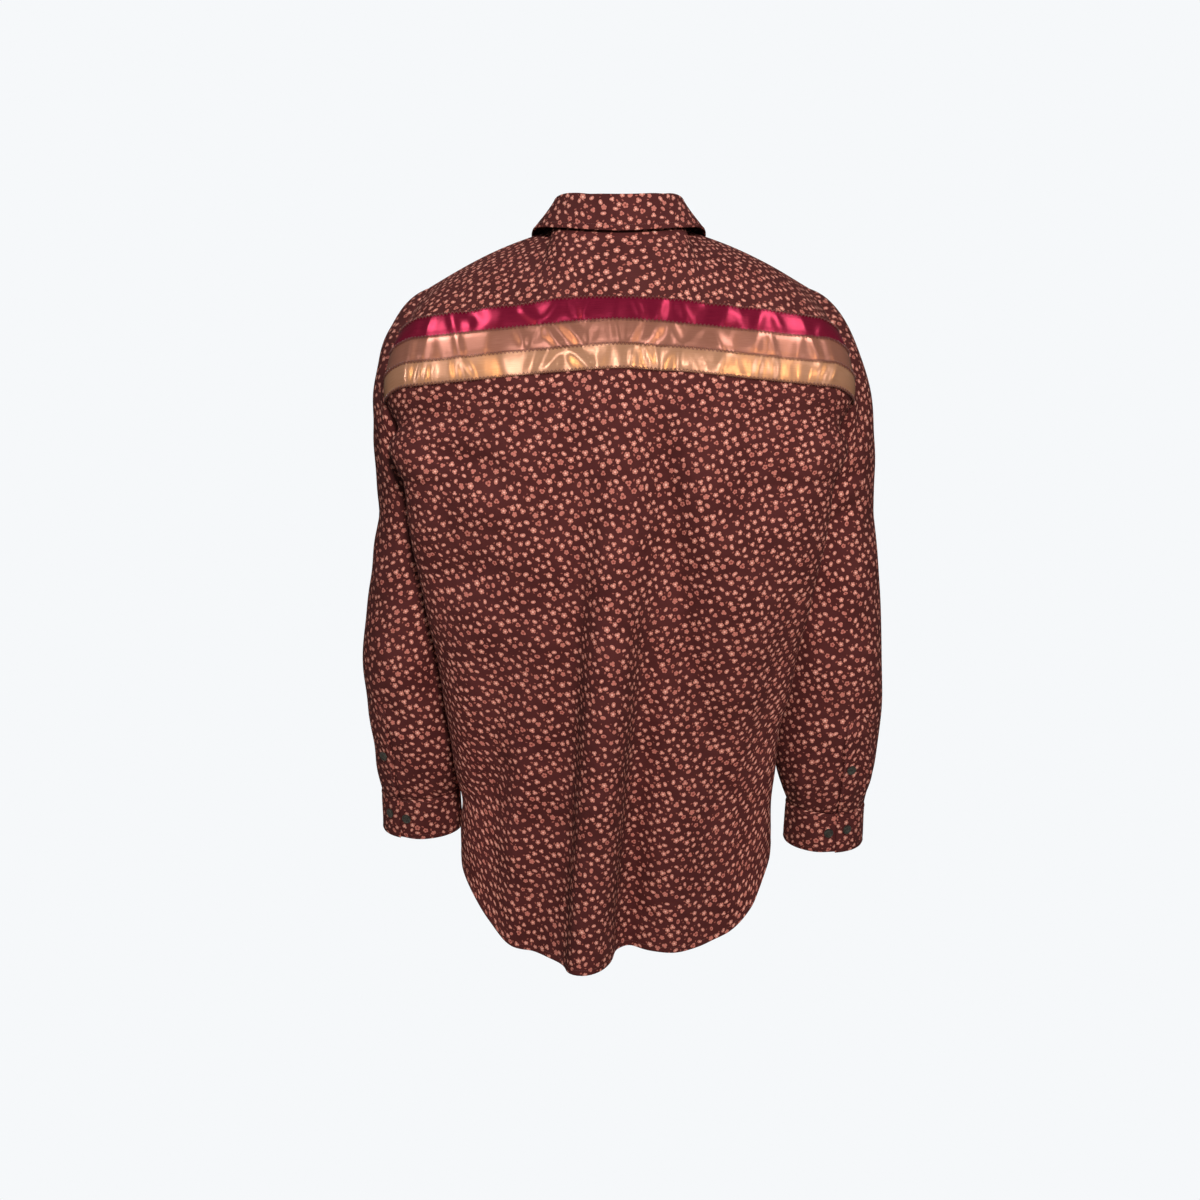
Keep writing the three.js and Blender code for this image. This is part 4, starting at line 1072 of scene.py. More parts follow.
def collar_fall_grid():
    """Hooks over the stand's top edge, then runs down and out to the collar's edge."""
    turns = FALL_END * (1 - 2 * spaced(470, near_edges=(0, 0.8, 2)))
    over = FOLD_OVER.at(np.arange(4))
    rows = [stand_top + collar_outward(turns) * out + points(0, 0, up)
            for stand_top in [neckline_point(turns) + points(0, 0, STAND_CLEARANCE + stand_height(turns))]
            for out, up in zip(over["out"], over["up"])]
    turn, share = np.meshgrid(turns, spaced(40, near_edges=(0, 0.8, 2)))
    plain = np.concatenate([np.array(rows), fall_point(turn, share)])
    edges = from_edges(plain, ("foot", "start", "end"))
    wave = crease_heights(np.concatenate([np.repeat(turns[None], 4, 0), turn]), plain[..., 2], [
        (-46, 46, -40, 18, 14, -0.8), (28, 44, 22, 16, 16, -0.7), (96, 30, 104, 2, 18, 0.8),
        (-100, 30, -108, 2, 18, 0.9),
    ])
    height = rolled(edges, 0.8, 1.0) - 0.45 * np.exp(-((edges - 6) / 1.4) ** 2) + wave * smooth(edges / 8)
    return moved_out(plain, height)


stand_at = collar_stand_grid()
fall_at = collar_fall_grid()


# ---- lines of stitching ----------------------------------------------------------------------

def beside(grid, edge, distance):
    """The line of points at a distance from one edge of a grid, and the way outwards there."""
    normal = normals_of(grid)
    if edge in ("start", "end"):
        grid, normal = grid.swapaxes(0, 1), normal.swapaxes(0, 1)
    if edge in ("end", "foot"):
        grid, normal = grid[::-1], normal[::-1]
    run = run_lengths(grid.swapaxes(0, 1))
    lines = []
    for values in (grid, normal):
        lines.append(np.array([
            [np.interp(distance, run[k], values[:, k, axis]) for axis in range(3)]
            for k in range(grid.shape[1])
        ]))
    return lines


def clipped(line, start, end):
    """A share of a line of stitching, by its length."""
    at, out = line
    run = run_lengths(at) / run_lengths(at)[-1]
    keep = (run >= start) & (run <= end)
    return [at[keep], out[keep]]


# ---- materials -------------------------------------------------------------------------------

def linear(hex_colour):
    """A colour given as sRGB hex, in the linear values that shaders take."""
    parts = [int(hex_colour[i:i + 2], 16) / 255 for i in (1, 3, 5)]
    return tuple(p / 12.92 if p <= 0.04045 else ((p + 0.055) / 1.055) ** 2.4 for p in parts) + (1,)


def add(tree, kind, *links, **settings):
    """Adds a node with its settings, and its inputs in order: None, a value or a socket."""
    node = tree.nodes.new(kind)
    for key, value in settings.items():
        setattr(node, key, value)
    for socket, source in zip(node.inputs, links):
        if source is None:
            continue
        if isinstance(source, bpy.types.NodeSocket):
            tree.links.new(source, socket)
        else:
            socket.default_value = source
    return node


def new_material(name, shader_values):
    material = bpy.data.materials.new(name)
    material.use_nodes = True
    tree = material.node_tree
    shader = tree.nodes["Principled BSDF"]
    for socket, value in shader_values.items():
        shader.inputs[socket].default_value = value
    return material, tree, shader


class Sums:
    """Short names for the arithmetic of one material's node tree."""

    def __init__(self, tree):
        self.tree = tree

    def do(self, operation, *values):
        return add(self.tree, "ShaderNodeMath", *values, operation=operation).outputs[0]

    def ramp(self, value, low, high, to_low=0.0, to_high=1.0):
        node = add(self.tree, "ShaderNodeMapRange", value, low, high, to_low, to_high,
                   interpolation_type="SMOOTHSTEP")
        return node.outputs[0]

    def blend(self, share, a, b, kind="MIX"):
        node = add(self.tree, "ShaderNodeMix", data_type="RGBA", blend_type=kind)
        for socket, source in ((node.inputs[0], share), (node.inputs[6], a), (node.inputs[7], b)):
            if isinstance(source, bpy.types.NodeSocket):
                self.tree.links.new(source, socket)
            else:
                socket.default_value = source
        return node.outputs[2]

    def vector(self, operation, *values, output=0):
        return add(self.tree, "ShaderNodeVectorMath", *values, operation=operation).outputs[output]


# The print: small tossed flowers, one to each cell of an uneven net, in millimetres.
PRINT = dict(
    apart=9.5,        # from one motif to the next
    unevenness=0.5,
    size=3.1,         # half a motif's breadth
    speck=1.5,        # half the length of a leaf between motifs
)


def print_motifs(tree, cut):
    """Cloth places in metres -> how much of a point is petal, eye, vein and shadow of a motif,
    or a speck between motifs, and a random number that the whole motif shares."""
    s = Sums(tree)
    tilted = add(tree, "ShaderNodeVectorRotate", cut, rotation_type="Z_AXIS")
    tilted.inputs["Angle"].default_value = math.radians(24)
    net = add(tree, "ShaderNodeTexVoronoi", voronoi_dimensions="2D", feature="F1")
    tree.links.new(tilted.outputs[0], net.inputs["Vector"])
    net.inputs["Scale"].default_value = 1 / (PRINT["apart"] * MM)
    net.inputs["Randomness"].default_value = PRINT["unevenness"]
    chance = add(tree, "ShaderNodeTexWhiteNoise", net.outputs["Position"], noise_dimensions="2D")
    draw = add(tree, "ShaderNodeSeparateColor", net.outputs["Color"])
    more = add(tree, "ShaderNodeSeparateColor", chance.outputs[1])
    at = s.vector("SUBTRACT", tilted.outputs[0], net.outputs["Position"])
    turned = add(tree, "ShaderNodeVectorRotate", at, rotation_type="Z_AXIS")
    tree.links.new(s.do("MULTIPLY", draw.outputs[2], 2 * math.pi), turned.inputs["Angle"])
    split = add(tree, "ShaderNodeSeparateXYZ", turned.outputs[0])
    # Three kinds: buds with one point, sprigs with three lobes and flowers with five petals.
    kind = draw.outputs[0]
    flower = s.do("GREATER_THAN", kind, 0.6)
    bud = s.do("LESS_THAN", kind, 0.3)
    sprig = s.do("SUBTRACT", 1.0, s.do("ADD", flower, bud))
    breadth = s.do("MULTIPLY_ADD", bud, 0.35, s.ramp(more.outputs[0], 0, 1, 0.9, 1.12))
    x = s.do("MULTIPLY", split.outputs[0], breadth)
    y = split.outputs[1]
    far = s.do("SQRT", s.do("ADD", s.do("MULTIPLY", x, x), s.do("MULTIPLY", y, y)))
    petals = s.do("MULTIPLY_ADD", flower, 2.0, s.do("MULTIPLY_ADD", sprig, 1.0, 0.5))
    lobe = s.do("ABSOLUTE", s.do("COSINE", s.do("MULTIPLY", s.do("ARCTAN2", y, x), petals)))
    notch = s.do("MULTIPLY_ADD", sprig, 0.16, 0.18)
    reach = s.do("MULTIPLY_ADD", notch, s.do("SUBTRACT", lobe, 1.0), 1.0)
    size = s.ramp(more.outputs[1], 0.0, 1.0, PRINT["size"] * MM * 0.86, PRINT["size"] * MM * 1.08)
    share = s.do("DIVIDE", far, s.do("MULTIPLY", reach, size))
    # Leaves fall in the gaps, on the same net half a step along.
    gap = PRINT["apart"] * MM / 2
    moved = s.vector("ADD", tilted.outputs[0], (gap, gap, 0))
    leaves = add(tree, "ShaderNodeTexVoronoi", voronoi_dimensions="2D", feature="F1")
    tree.links.new(moved, leaves.inputs["Vector"])
    leaves.inputs["Scale"].default_value = 1 / (PRINT["apart"] * MM)
    leaves.inputs["Randomness"].default_value = 0.7
    leaf_draw = add(tree, "ShaderNodeSeparateColor", leaves.outputs["Color"])
    leaf_at = add(tree, "ShaderNodeVectorRotate", s.vector("SUBTRACT", moved, leaves.outputs["Position"]),
                  rotation_type="Z_AXIS")
    tree.links.new(s.do("MULTIPLY", leaf_draw.outputs[2], 2 * math.pi), leaf_at.inputs["Angle"])
    leaf = add(tree, "ShaderNodeSeparateXYZ", leaf_at.outputs[0])
    along, aside = leaf.outputs[0], s.do("MULTIPLY", leaf.outputs[1], 1.8)
    leaf_far = s.do("SQRT", s.do("ADD", s.do("MULTIPLY", along, along), s.do("MULTIPLY", aside, aside)))
    speck = PRINT["speck"] * MM
    leaf_size = s.ramp(leaf_draw.outputs[0], 0.0, 1.0, speck * 0.6, speck * 1.1)
    leaf_share = s.do("DIVIDE", leaf_far, leaf_size)
    return dict(
        petal=s.ramp(share, 0.86, 1.08, 1.0, 0.0), shadow=s.ramp(share, 1.0, 1.4, 1.0, 0.0),
        eye=s.ramp(share, 0.16, 0.5, 1.0, 0.0), draw=draw.outputs[1],
        vein=s.do("MULTIPLY", s.ramp(lobe, 0.1, 0.55, 0.6, 0.0), s.ramp(share, 0.25, 0.6)),
        speck=s.ramp(leaf_share, 0.8, 1.15, 1.0, 0.0),
    )


def weave(tree, places, spacing, depth, strength):
    """Plain weave as bump: warp over weft, drawn a little coarser than the real thread so that
    it shows, with the uneven thickness of spun yarn."""
    s = Sums(tree)
    split = add(tree, "ShaderNodeSeparateXYZ", places)
    per_metre = math.pi / (spacing * MM)
    warp = s.do("SINE", s.do("MULTIPLY", split.outputs[0], per_metre))
    weft = s.do("SINE", s.do("MULTIPLY", split.outputs[1], per_metre))
    slub = add(tree, "ShaderNodeTexNoise", places, None, 900.0, 2.0).outputs[0]
    height = s.do("MULTIPLY_ADD", slub, 0.8, s.do("MULTIPLY", warp, weft))
    return add(tree, "ShaderNodeBump", strength, depth * MM, None, height).outputs["Normal"]


GROUND, GROUND_DEEP, YARN = "#542829", "#471f20", "#6c3c3a"
CORAL, SALMON, PEACH = "#c67a6e", "#da9082", "#f3cab8"
PRINT_SHADOW, PRINT_VEIN, SPECK = "#2a0e10", "#7c3632", "#b0655a"


def printed_cotton(name, strength=0.96):
    """Plain-woven cotton shirting, pigment printed: dull and matt, with the faintest nap."""
    material, tree, shader = new_material(name, {
        "Roughness": 0.86, "IOR": 1.47, "Specular IOR Level": 0.14,
        "Sheen Weight": 0.06, "Sheen Roughness": 0.6, "Sheen Tint": linear("#8a5a58"),
    })
    s = Sums(tree)
    cut = add(tree, "ShaderNodeUVMap", uv_map="cut").outputs[0]
    cloud = add(tree, "ShaderNodeTexNoise", cut, None, 26.0, 3.0).outputs[0]
    yarn = add(tree, "ShaderNodeTexNoise", cut, None, 1400.0, 2.0).outputs[0]
    base = s.blend(s.ramp(cloud, 0.3, 0.7), linear(GROUND), linear(GROUND_DEEP))
    base = s.blend(s.ramp(yarn, 0.35, 0.7, 0.0, 0.3), base, linear(YARN))
    motif = print_motifs(tree, cut)
    base = s.blend(s.do("MULTIPLY", motif["speck"], 0.85 * strength), base, linear(SPECK))
    base = s.blend(s.do("MULTIPLY", motif["shadow"], 0.5 * strength), base, linear(PRINT_SHADOW))
    ink = s.blend(motif["draw"], linear(CORAL), linear(SALMON))
    ink = s.blend(motif["vein"], ink, linear(PRINT_VEIN))
    ink = s.blend(s.do("MULTIPLY", motif["eye"], s.ramp(motif["draw"], 0.3, 0.36)), ink, linear(PEACH))
    ink = s.blend(s.do("MULTIPLY", motif["eye"], s.ramp(motif["draw"], 0.1, 0.14, 1.0, 0.0)), ink,
                  linear(PRINT_VEIN))
    base = s.blend(s.do("MULTIPLY", motif["petal"], strength), base, ink)
    tree.links.new(base, shader.inputs["Base Color"])
    tree.links.new(weave(tree, cut, 0.42, 0.10, 0.45), shader.inputs["Normal"])
    return material


def satin(name, colour, deep, glow):
    """Polyester satin ribbon: long floats along its length spread each light into a bright band
    across the ribbon, wherever a soft pucker tips towards it."""
    material, tree, shader = new_material(name, {
        "Roughness": 0.25, "IOR": 1.58, "Specular IOR Level": 1.0, "Specular Tint": linear(glow),
        "Metallic": 0.45, "Anisotropic": 0.85, "Anisotropic Rotation": 0.25,
    })
    s = Sums(tree)
    cut = add(tree, "ShaderNodeUVMap", uv_map="cut").outputs[0]
    # Floats lie along the ribbon, so the yarn's streaks are long that way and fine across it.
    streaks = add(tree, "ShaderNodeMapping", cut)
    streaks.inputs["Scale"].default_value = (60, 2600, 1)
    thread = add(tree, "ShaderNodeTexNoise", streaks.outputs[0], None, 1.0, 3.0).outputs[0]
    body = s.blend(s.ramp(thread, 0.3, 0.7), linear(deep), linear(colour))
    tree.links.new(body, shader.inputs["Base Color"])
    bump = add(tree, "ShaderNodeBump", 0.25, 0.05 * MM)
    tree.links.new(thread, bump.inputs["Height"])
    tree.links.new(bump.outputs["Normal"], shader.inputs["Normal"])
    tangent = add(tree, "ShaderNodeTangent", direction_type="UV_MAP", uv_map="cut")
    tree.links.new(tangent.outputs[0], shader.inputs["Tangent"])
    return material


def thread(name, colour, light):
    """Spun polyester sewing thread: matt with a slight gloss, twisted from two plies."""
    material, tree, shader = new_material(name, {
        "Roughness": 0.6, "IOR": 1.5, "Specular IOR Level": 0.4,
        "Sheen Weight": 0.2, "Sheen Roughness": 0.5,
    })
    s = Sums(tree)
    place = add(tree, "ShaderNodeTexCoord").outputs["Object"]
    noise = add(tree, "ShaderNodeTexNoise", place, None, 2400.0, 2.0).outputs[0]
    plies = s.blend(s.ramp(noise, 0.35, 0.7), linear(colour), linear(light))
    tree.links.new(plies, shader.inputs["Base Color"])
    return material


def horn_button(name):
    """Cast polyester made to look like dark horn: cloudy streaks under a polished face."""
    material, tree, shader = new_material(name, {
        "Roughness": 0.28, "IOR": 1.55, "Specular IOR Level": 0.5,
        "Coat Weight": 0.35, "Coat Roughness": 0.15,
    })
    s = Sums(tree)
    place = add(tree, "ShaderNodeTexCoord").outputs["Object"]
    cloud = add(tree, "ShaderNodeTexNoise", place, None, 220.0, 4.0)
    cloud.inputs["Distortion"].default_value = 1.4
    streak = s.blend(s.ramp(cloud.outputs[0], 0.38, 0.66), linear("#1a1c1b"), linear("#3a3f39"))
    tree.links.new(streak, shader.inputs["Base Color"])
    scuff = add(tree, "ShaderNodeBump", 0.15, 0.05 * MM)
    scratches = add(tree, "ShaderNodeTexNoise", place, None, 2600.0, 2.0).outputs[0]
    tree.links.new(scratches, scuff.inputs["Height"])
    tree.links.new(scuff.outputs["Normal"], shader.inputs["Normal"])
    return material


COTTON = printed_cotton("printed cotton shirting")
COTTON_INSIDE = printed_cotton("printed cotton shirting wrong side", 0.4)
SATINS = dict(
    wine=satin("wine satin ribbon", "#92203f", "#7c1634", "#ec7080"),
    rose=satin("dusty rose satin ribbon", "#b87f6c", "#a9705d", "#f6cdb8"),
    gold=satin("champagne satin ribbon", "#d6a384", "#c89270", "#ffe8c4"),
)
SHIRT_THREAD = thread("dark red sewing thread", "#5e3032", "#84504c")
RIBBON_THREAD = thread("rust zigzag thread", "#54201a", "#74342a")
BUTTON_THREAD = thread("dark button thread", "#2c2622", "#4c423a")
HORN = horn_button("dark horn-like polyester")


# ---- cloth pieces ----------------------------------------------------------------------------

COTTONS = [COTTON, COTTON_INSIDE]


def simple_flat(grid, turned=False):
    """Places on the cut cloth for a piece that isn't shaped: down and across, or turned."""
    flat = flat_places(grid, grid.shape[1] // 2)
    return flat[..., ::-1] if turned else flat


pieces = {}


def cotton_piece(name, grids, flats, wall=CLOTH, closed=False, mirrored=False):
    piece = cloth_piece(name, grids, flats, wall, COTTONS, closed, mirrored)
    pieces[name] = ride(piece, "shirting", name)


cotton_piece("yoke", [yoke_back_at, yoke_left_at, yoke_right_at], yoke_flats())
cotton_piece("back", [back_at], [back_flat])
cotton_piece("front_left", [front_at[1]], [front_flat[1]])
cotton_piece("front_right", [front_at[-1]], [cut_elsewhere(front_flat[-1])], mirrored=True)
for name, sleeve in SLEEVES.items():
    mirrored = sleeve["mirrored"]
    flat = cut_elsewhere(sleeve["flat"]) if mirrored else sleeve["flat"]
    cotton_piece(f"sleeve_{name}", [sleeve["grid"]], [flat], closed=True, mirrored=mirrored)
    cotton_piece(f"cuff_{name}", [sleeve["cuff"]], [simple_flat(sleeve["cuff"], True)], wall=FOLDED,
                 mirrored=mirrored)
    cotton_piece(f"sleeve_placket_{name}", [sleeve["placket"]], [simple_flat(sleeve["placket"])],
                 mirrored=mirrored)
cotton_piece("collar_stand", [stand_at], [simple_flat(stand_at, True)], wall=FOLDED)
fall_flat = flat_places(fall_at, fall_at.shape[1] // 2, own_columns=True)[..., ::-1]
cotton_piece("collar_fall", [fall_at], [fall_flat], wall=COLLAR)
for name, grid in ribbon_grid.items():
    flat = flat_places(ribbon_plain[name], grid.shape[1] // 2)
    piece = cloth_piece(f"ribbon_{name}", [grid], [flat], RIBBON, [SATINS[name]])
    pieces[f"ribbon_{name}"] = ride(piece, f"ribbon_{name}", f"ribbon_{name}")


# ---- stitching -------------------------------------------------------------------------------
# Each row of stitches starts as a bare line of points that carries the way outwards and the way
# aside along the cloth.

def stitch_tree(name, sizes):
    """A Geometry Nodes tree that takes lines and the named sizes in metres, and gives stitches."""
    tree = bpy.data.node_groups.new(name, "GeometryNodeTree")
    tree.interface.new_socket("Lines", in_out="INPUT", socket_type="NodeSocketGeometry")
    for size in sizes:
        tree.interface.new_socket(size, in_out="INPUT", socket_type="NodeSocketFloat")
    tree.interface.new_socket("Stitches", in_out="OUTPUT", socket_type="NodeSocketGeometry")
    given = add(tree, "NodeGroupInput").outputs
    spots = add(tree, "GeometryNodeResampleCurve", mode="LENGTH")
    tree.links.new(add(tree, "GeometryNodeMeshToCurve", given["Lines"]).outputs[0], spots.inputs["Curve"])
    tree.links.new(given["Spacing"], spots.inputs["Length"])
    return tree, given, spots.outputs[0]


def carried(tree, name):
    node = add(tree, "GeometryNodeInputNamedAttribute", data_type="FLOAT_VECTOR")
    node.inputs["Name"].default_value = name
    return next(output for output in node.outputs if output.enabled and output.type == "VECTOR")


def scaled(tree, vector, size):
    node = add(tree, "ShaderNodeVectorMath", vector, operation="SCALE")
    if isinstance(size, bpy.types.NodeSocket):
        tree.links.new(size, node.inputs["Scale"])
    else:
        node.inputs["Scale"].default_value = size
    return node.outputs[0]


def end_tree(tree, shape, material):
    """Every stitch tree ends in plain geometry with its thread's material."""
    real = add(tree, "GeometryNodeRealizeInstances", shape).outputs[0]
    smooth_faces = add(tree, "GeometryNodeSetShadeSmooth", real).outputs[0]
    dressed = add(tree, "GeometryNodeSetMaterial", smooth_faces)
    dressed.inputs["Material"].default_value = material
    add(tree, "NodeGroupOutput", dressed.outputs[0])
    return tree


def zigzag_tree(material):
    """A thread that swings from side to side, and rises between the holes where it goes down."""
    tree, given, spots = stitch_tree("zigzag", ("Spacing", "Breadth", "Thread"))
    s = Sums(tree)
    quarter = s.do("MULTIPLY", add(tree, "GeometryNodeInputIndex").outputs[0], math.pi / 2)
    swing = s.do("MULTIPLY", s.do("COSINE", quarter), given["Breadth"])
    risen = s.do("MULTIPLY", s.do("ABSOLUTE", s.do("SINE", quarter)), given["Thread"])
    offset = s.vector("ADD", scaled(tree, carried(tree, "aside"), s.do("MULTIPLY", swing, 0.5)),
                      scaled(tree, carried(tree, "outward"), risen))
    moved = add(tree, "GeometryNodeSetPosition", spots)
    tree.links.new(offset, moved.inputs["Offset"])
    round_thread = add(tree, "GeometryNodeCurvePrimitiveCircle", 5)
    tree.links.new(s.do("MULTIPLY", given["Thread"], 0.5), round_thread.inputs["Radius"])
    tube = add(tree, "GeometryNodeCurveToMesh", moved.outputs[0], round_thread.outputs[0])
    return end_tree(tree, tube.outputs[0], material)


def running_tree(material):
    """Lockstitch seen from above: short plump stitches end to end, with a dip between them."""
    tree, given, spots = stitch_tree("lockstitch", ("Spacing", "Length", "Thread"))
    s = Sums(tree)
    stitch = add(tree, "GeometryNodeMeshUVSphere", 6, 4, 0.5)
    size = add(tree, "ShaderNodeCombineXYZ", given["Length"], given["Thread"],
               s.do("MULTIPLY", given["Thread"], 0.8)).outputs[0]
    along = add(tree, "FunctionNodeAlignRotationToVector", axis="X")
    tree.links.new(add(tree, "GeometryNodeInputTangent").outputs[0], along.inputs["Vector"])
    upright = add(tree, "FunctionNodeAlignRotationToVector", along.outputs[0], axis="Z", pivot_axis="X")
    tree.links.new(carried(tree, "outward"), upright.inputs["Vector"])
    laid = add(tree, "GeometryNodeInstanceOnPoints", spots)
    tree.links.new(stitch.outputs[0], laid.inputs["Instance"])
    tree.links.new(upright.outputs[0], laid.inputs["Rotation"])
    tree.links.new(size, laid.inputs["Scale"])
    return end_tree(tree, laid.outputs[0], material)


def stitched(name, lines, tree, sizes, lift, material):
    """A mesh of all the stitches along some lines, each a list of points and ways outwards."""
    at, outward, aside, edges = [], [], [], []
    for points_there, normals in lines:
        first = sum(map(len, at))
        onward = np.gradient(points_there, axis=0)
        edges += [(first + k, first + k + 1) for k in range(len(points_there) - 1)]
        at.append(points_there + normals * lift)
        outward.append(normals)
        aside.append(np.cross(normals, onward / np.maximum(length_of(onward), 1e-9)[:, None]))
    mesh = bpy.data.meshes.new(name)
    mesh.from_pydata((np.concatenate(at) * MM).tolist(), edges, [])
    for attribute, values in (("outward", outward), ("aside", aside)):
        mesh.attributes.new(attribute, "FLOAT_VECTOR", "POINT").data.foreach_set(
            "vector", np.concatenate(values).ravel())
    piece = bpy.data.objects.new(name, mesh)
    bpy.context.collection.objects.link(piece)
    sewing = piece.modifiers.new("stitches", "NODES")
    sewing.node_group = tree
    identifiers = {i.name: i.identifier for i in tree.interface.items_tree}
    for size, value in sizes.items():
        sewing[identifiers[size]] = value * MM
    finished(piece)
    for attribute in ("outward", "aside"):
        if attribute in piece.data.attributes:
            piece.data.attributes.remove(piece.data.attributes[attribute])
    piece.data.materials.clear()
    piece.data.materials.append(material)
    piece.data.polygons.foreach_set("material_index", [0] * len(piece.data.polygons))
    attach(piece, "root")
    return piece


# Zigzag at every edge of the ribbons: 4 mm to a full swing, 3.2 mm broad. The thread is drawn
# about three times as thick as the real one, so that it shows.
ZIGZAG = dict(Spacing=1.0, Breadth=3.2, Thread=1.0)
# Topstitching at about four stitches to the centimetre.
LOCKSTITCH = dict(Spacing=2.6, Length=2.1, Thread=0.42)
ZIGZAG_LIFT, THREAD_LIFT = 0.3, 0.12      # of the thread's middle above the cloth

zigzag = zigzag_tree(RIBBON_THREAD)
ribbon_rows = [
    beside(ribbon_grid["wine"], "top", 0.9), beside(ribbon_grid["rose"], "top", 0.5),
    beside(ribbon_grid["gold"], "top", 0.5), beside(ribbon_grid["gold"], "foot", 0.9),
]
for row, line in zip(("wine_top", "wine_rose", "rose_gold", "gold_foot"), ribbon_rows):
    name = f"zigzag_{row}"
    pieces[name] = stitched(name, [line], zigzag, ZIGZAG, ZIGZAG_LIFT, RIBBON_THREAD)

lockstitch = running_tree(SHIRT_THREAD)


def topstitched(name, *lines):
    name = f"stitches_{name}"
    pieces[name] = stitched(name, lines, lockstitch, LOCKSTITCH, THREAD_LIFT, SHIRT_THREAD)


EDGE_ROW = 6.0       # from a cuff's or collar's edge, in millimetres
SEAM_ROW = 2.2       # beside a seam
HEM_ROW = 6.4
PLACKET_ROW = 26.0   # the front's turned facing

topstitched("collar", beside(fall_at, "foot", EDGE_ROW),
            clipped(beside(fall_at, "start", EDGE_ROW), 0.2, 0.9),
            clipped(beside(fall_at, "end", EDGE_ROW), 0.2, 0.9))
topstitched("collar_stand", beside(stand_at, "foot", SEAM_ROW))
topstitched("back", beside(back_at, "foot", HEM_ROW), beside(back_at, "start", SEAM_ROW),
            beside(back_at, "end", SEAM_ROW))
topstitched("yoke", beside(yoke_left_at, "top", SEAM_ROW), beside(yoke_right_at, "top", SEAM_ROW),
            clipped(beside(yoke_back_at, "start", SEAM_ROW), 0, 0.62),
            clipped(beside(yoke_back_at, "end", SEAM_ROW), 0, 0.62))


def inside_out(line):
    at, outward = line
    return [at, -outward]


for side, name in ((1, "left"), (-1, "right")):
    grid = front_at[side]
    lines = [beside(grid, "foot", HEM_ROW), beside(grid, "start", SEAM_ROW),
             beside(grid, "start", PLACKET_ROW)]
    topstitched(f"front_{name}", *(lines if side > 0 else map(inside_out, lines)))
for name, sleeve in SLEEVES.items():
    cuff, strip = sleeve["cuff"], sleeve["placket"]
    lines = [clipped(beside(cuff, edge, EDGE_ROW), 0, 0.9) for edge in ("top", "foot")]
    lines.append(beside(cuff, "start", EDGE_ROW))
    lines += [beside(strip, edge, SEAM_ROW) for edge in ("start", "end", "top")]
    topstitched(f"sleeve_{name}", *(map(inside_out, lines) if sleeve["mirrored"] else lines))


# ---- buttons ---------------------------------------------------------------------------------

# Height and radius from the back's edge, over the rim and into the dished face.
BUTTON_PROFILE = (
    (0.0, 4.6), (0.25, 5.15), (0.9, 5.5), (1.6, 5.5), (2.15, 5.25), (2.4, 4.75), (2.3, 4.2),
    (1.95, 3.7), (1.8, 3.1), (1.75, 1.6),
)
HOLE_APART, HOLE_RADIUS, ROUND = 1.25, 0.62, 40


def turned_button():
    """A four-hole shirt button, 11 mm across, with a raised rim and a dished face."""
    bm = bmesh.new()
    angles = np.arange(ROUND) * 2 * math.pi / ROUND
    rings = []
    for height, out in BUTTON_PROFILE:
        rings.append([bm.verts.new((out * math.cos(a), out * math.sin(a), height)) for a in angles])
    for low, high in zip(rings, rings[1:]):
        for k in range(ROUND):
            bm.faces.new((low[k], low[(k + 1) % ROUND], high[(k + 1) % ROUND], high[k]))
    bm.faces.new(rings[0][::-1])
    bm.faces.new(rings[-1])
    mesh = bpy.data.meshes.new("button shape")
    bm.to_mesh(mesh)
    bm.free()
    shape = bpy.data.objects.new("button shape", mesh)
    bm = bmesh.new()
    for x, y in ((1, 1), (1, -1), (-1, 1), (-1, -1)):
        place = Matrix.Translation((x * HOLE_APART, y * HOLE_APART, 1))
        bmesh.ops.create_cone(bm, cap_ends=True, segments=14, radius1=HOLE_RADIUS, radius2=HOLE_RADIUS,
                              depth=8, matrix=place)
    drill_mesh = bpy.data.meshes.new("drill")
    bm.to_mesh(drill_mesh)
    bm.free()
    drill = bpy.data.objects.new("drill", drill_mesh)
    for thing in (shape, drill):
        bpy.context.collection.objects.link(thing)
    drilling = shape.modifiers.new("holes", "BOOLEAN")
    drilling.operation = "DIFFERENCE"
    drilling.object = drill
    finished(shape)
    bpy.data.objects.remove(drill)
    made = shape.data
    bpy.data.objects.remove(shape)
    for face in made.polygons:
        face.use_smooth = True
    made.set_sharp_from_angle(angle=math.radians(38))
    return made


def seat_of(node):
    """Where a CAD button stands, and the turn that takes +Z to the way it faces."""
    at = np.array([vertex.co for vertex in node.data.vertices]) / MM
    _, _, axes = np.linalg.svd(at - at.mean(0), full_matrices=False)
    facing = axes[2]
    reach = (at - at.mean(0)) @ facing
    # More of a button's points are at its face than at its back.
    if reach.max() > -reach.min():
        facing, reach = -facing, -reach
    centre = at.mean(0) + facing * (reach.min() + reach.max()) / 2
    back = centre - facing * (reach.max() - reach.min()) / 2
    return Vector(back), Vector(facing).to_track_quat("Z", "Y")


def thread_bars():
    """Two bars of button thread, each through a pair of holes, with a few passes side by side."""
    bm = bmesh.new()
    for x in (-HOLE_APART, HOLE_APART):
        for aside in (-0.24, 0.0, 0.24):
            place = Matrix.Translation((x + aside, 0, 1.72))
            place = place @ Matrix.Diagonal((0.17, HOLE_APART + 0.25, 0.3, 1))
            bmesh.ops.create_uvsphere(bm, u_segments=8, v_segments=6, radius=1, matrix=place)
    mesh = bpy.data.meshes.new("thread bars")
    bm.to_mesh(mesh)
    bm.free()
    for face in mesh.polygons:
        face.use_smooth = True
    return mesh


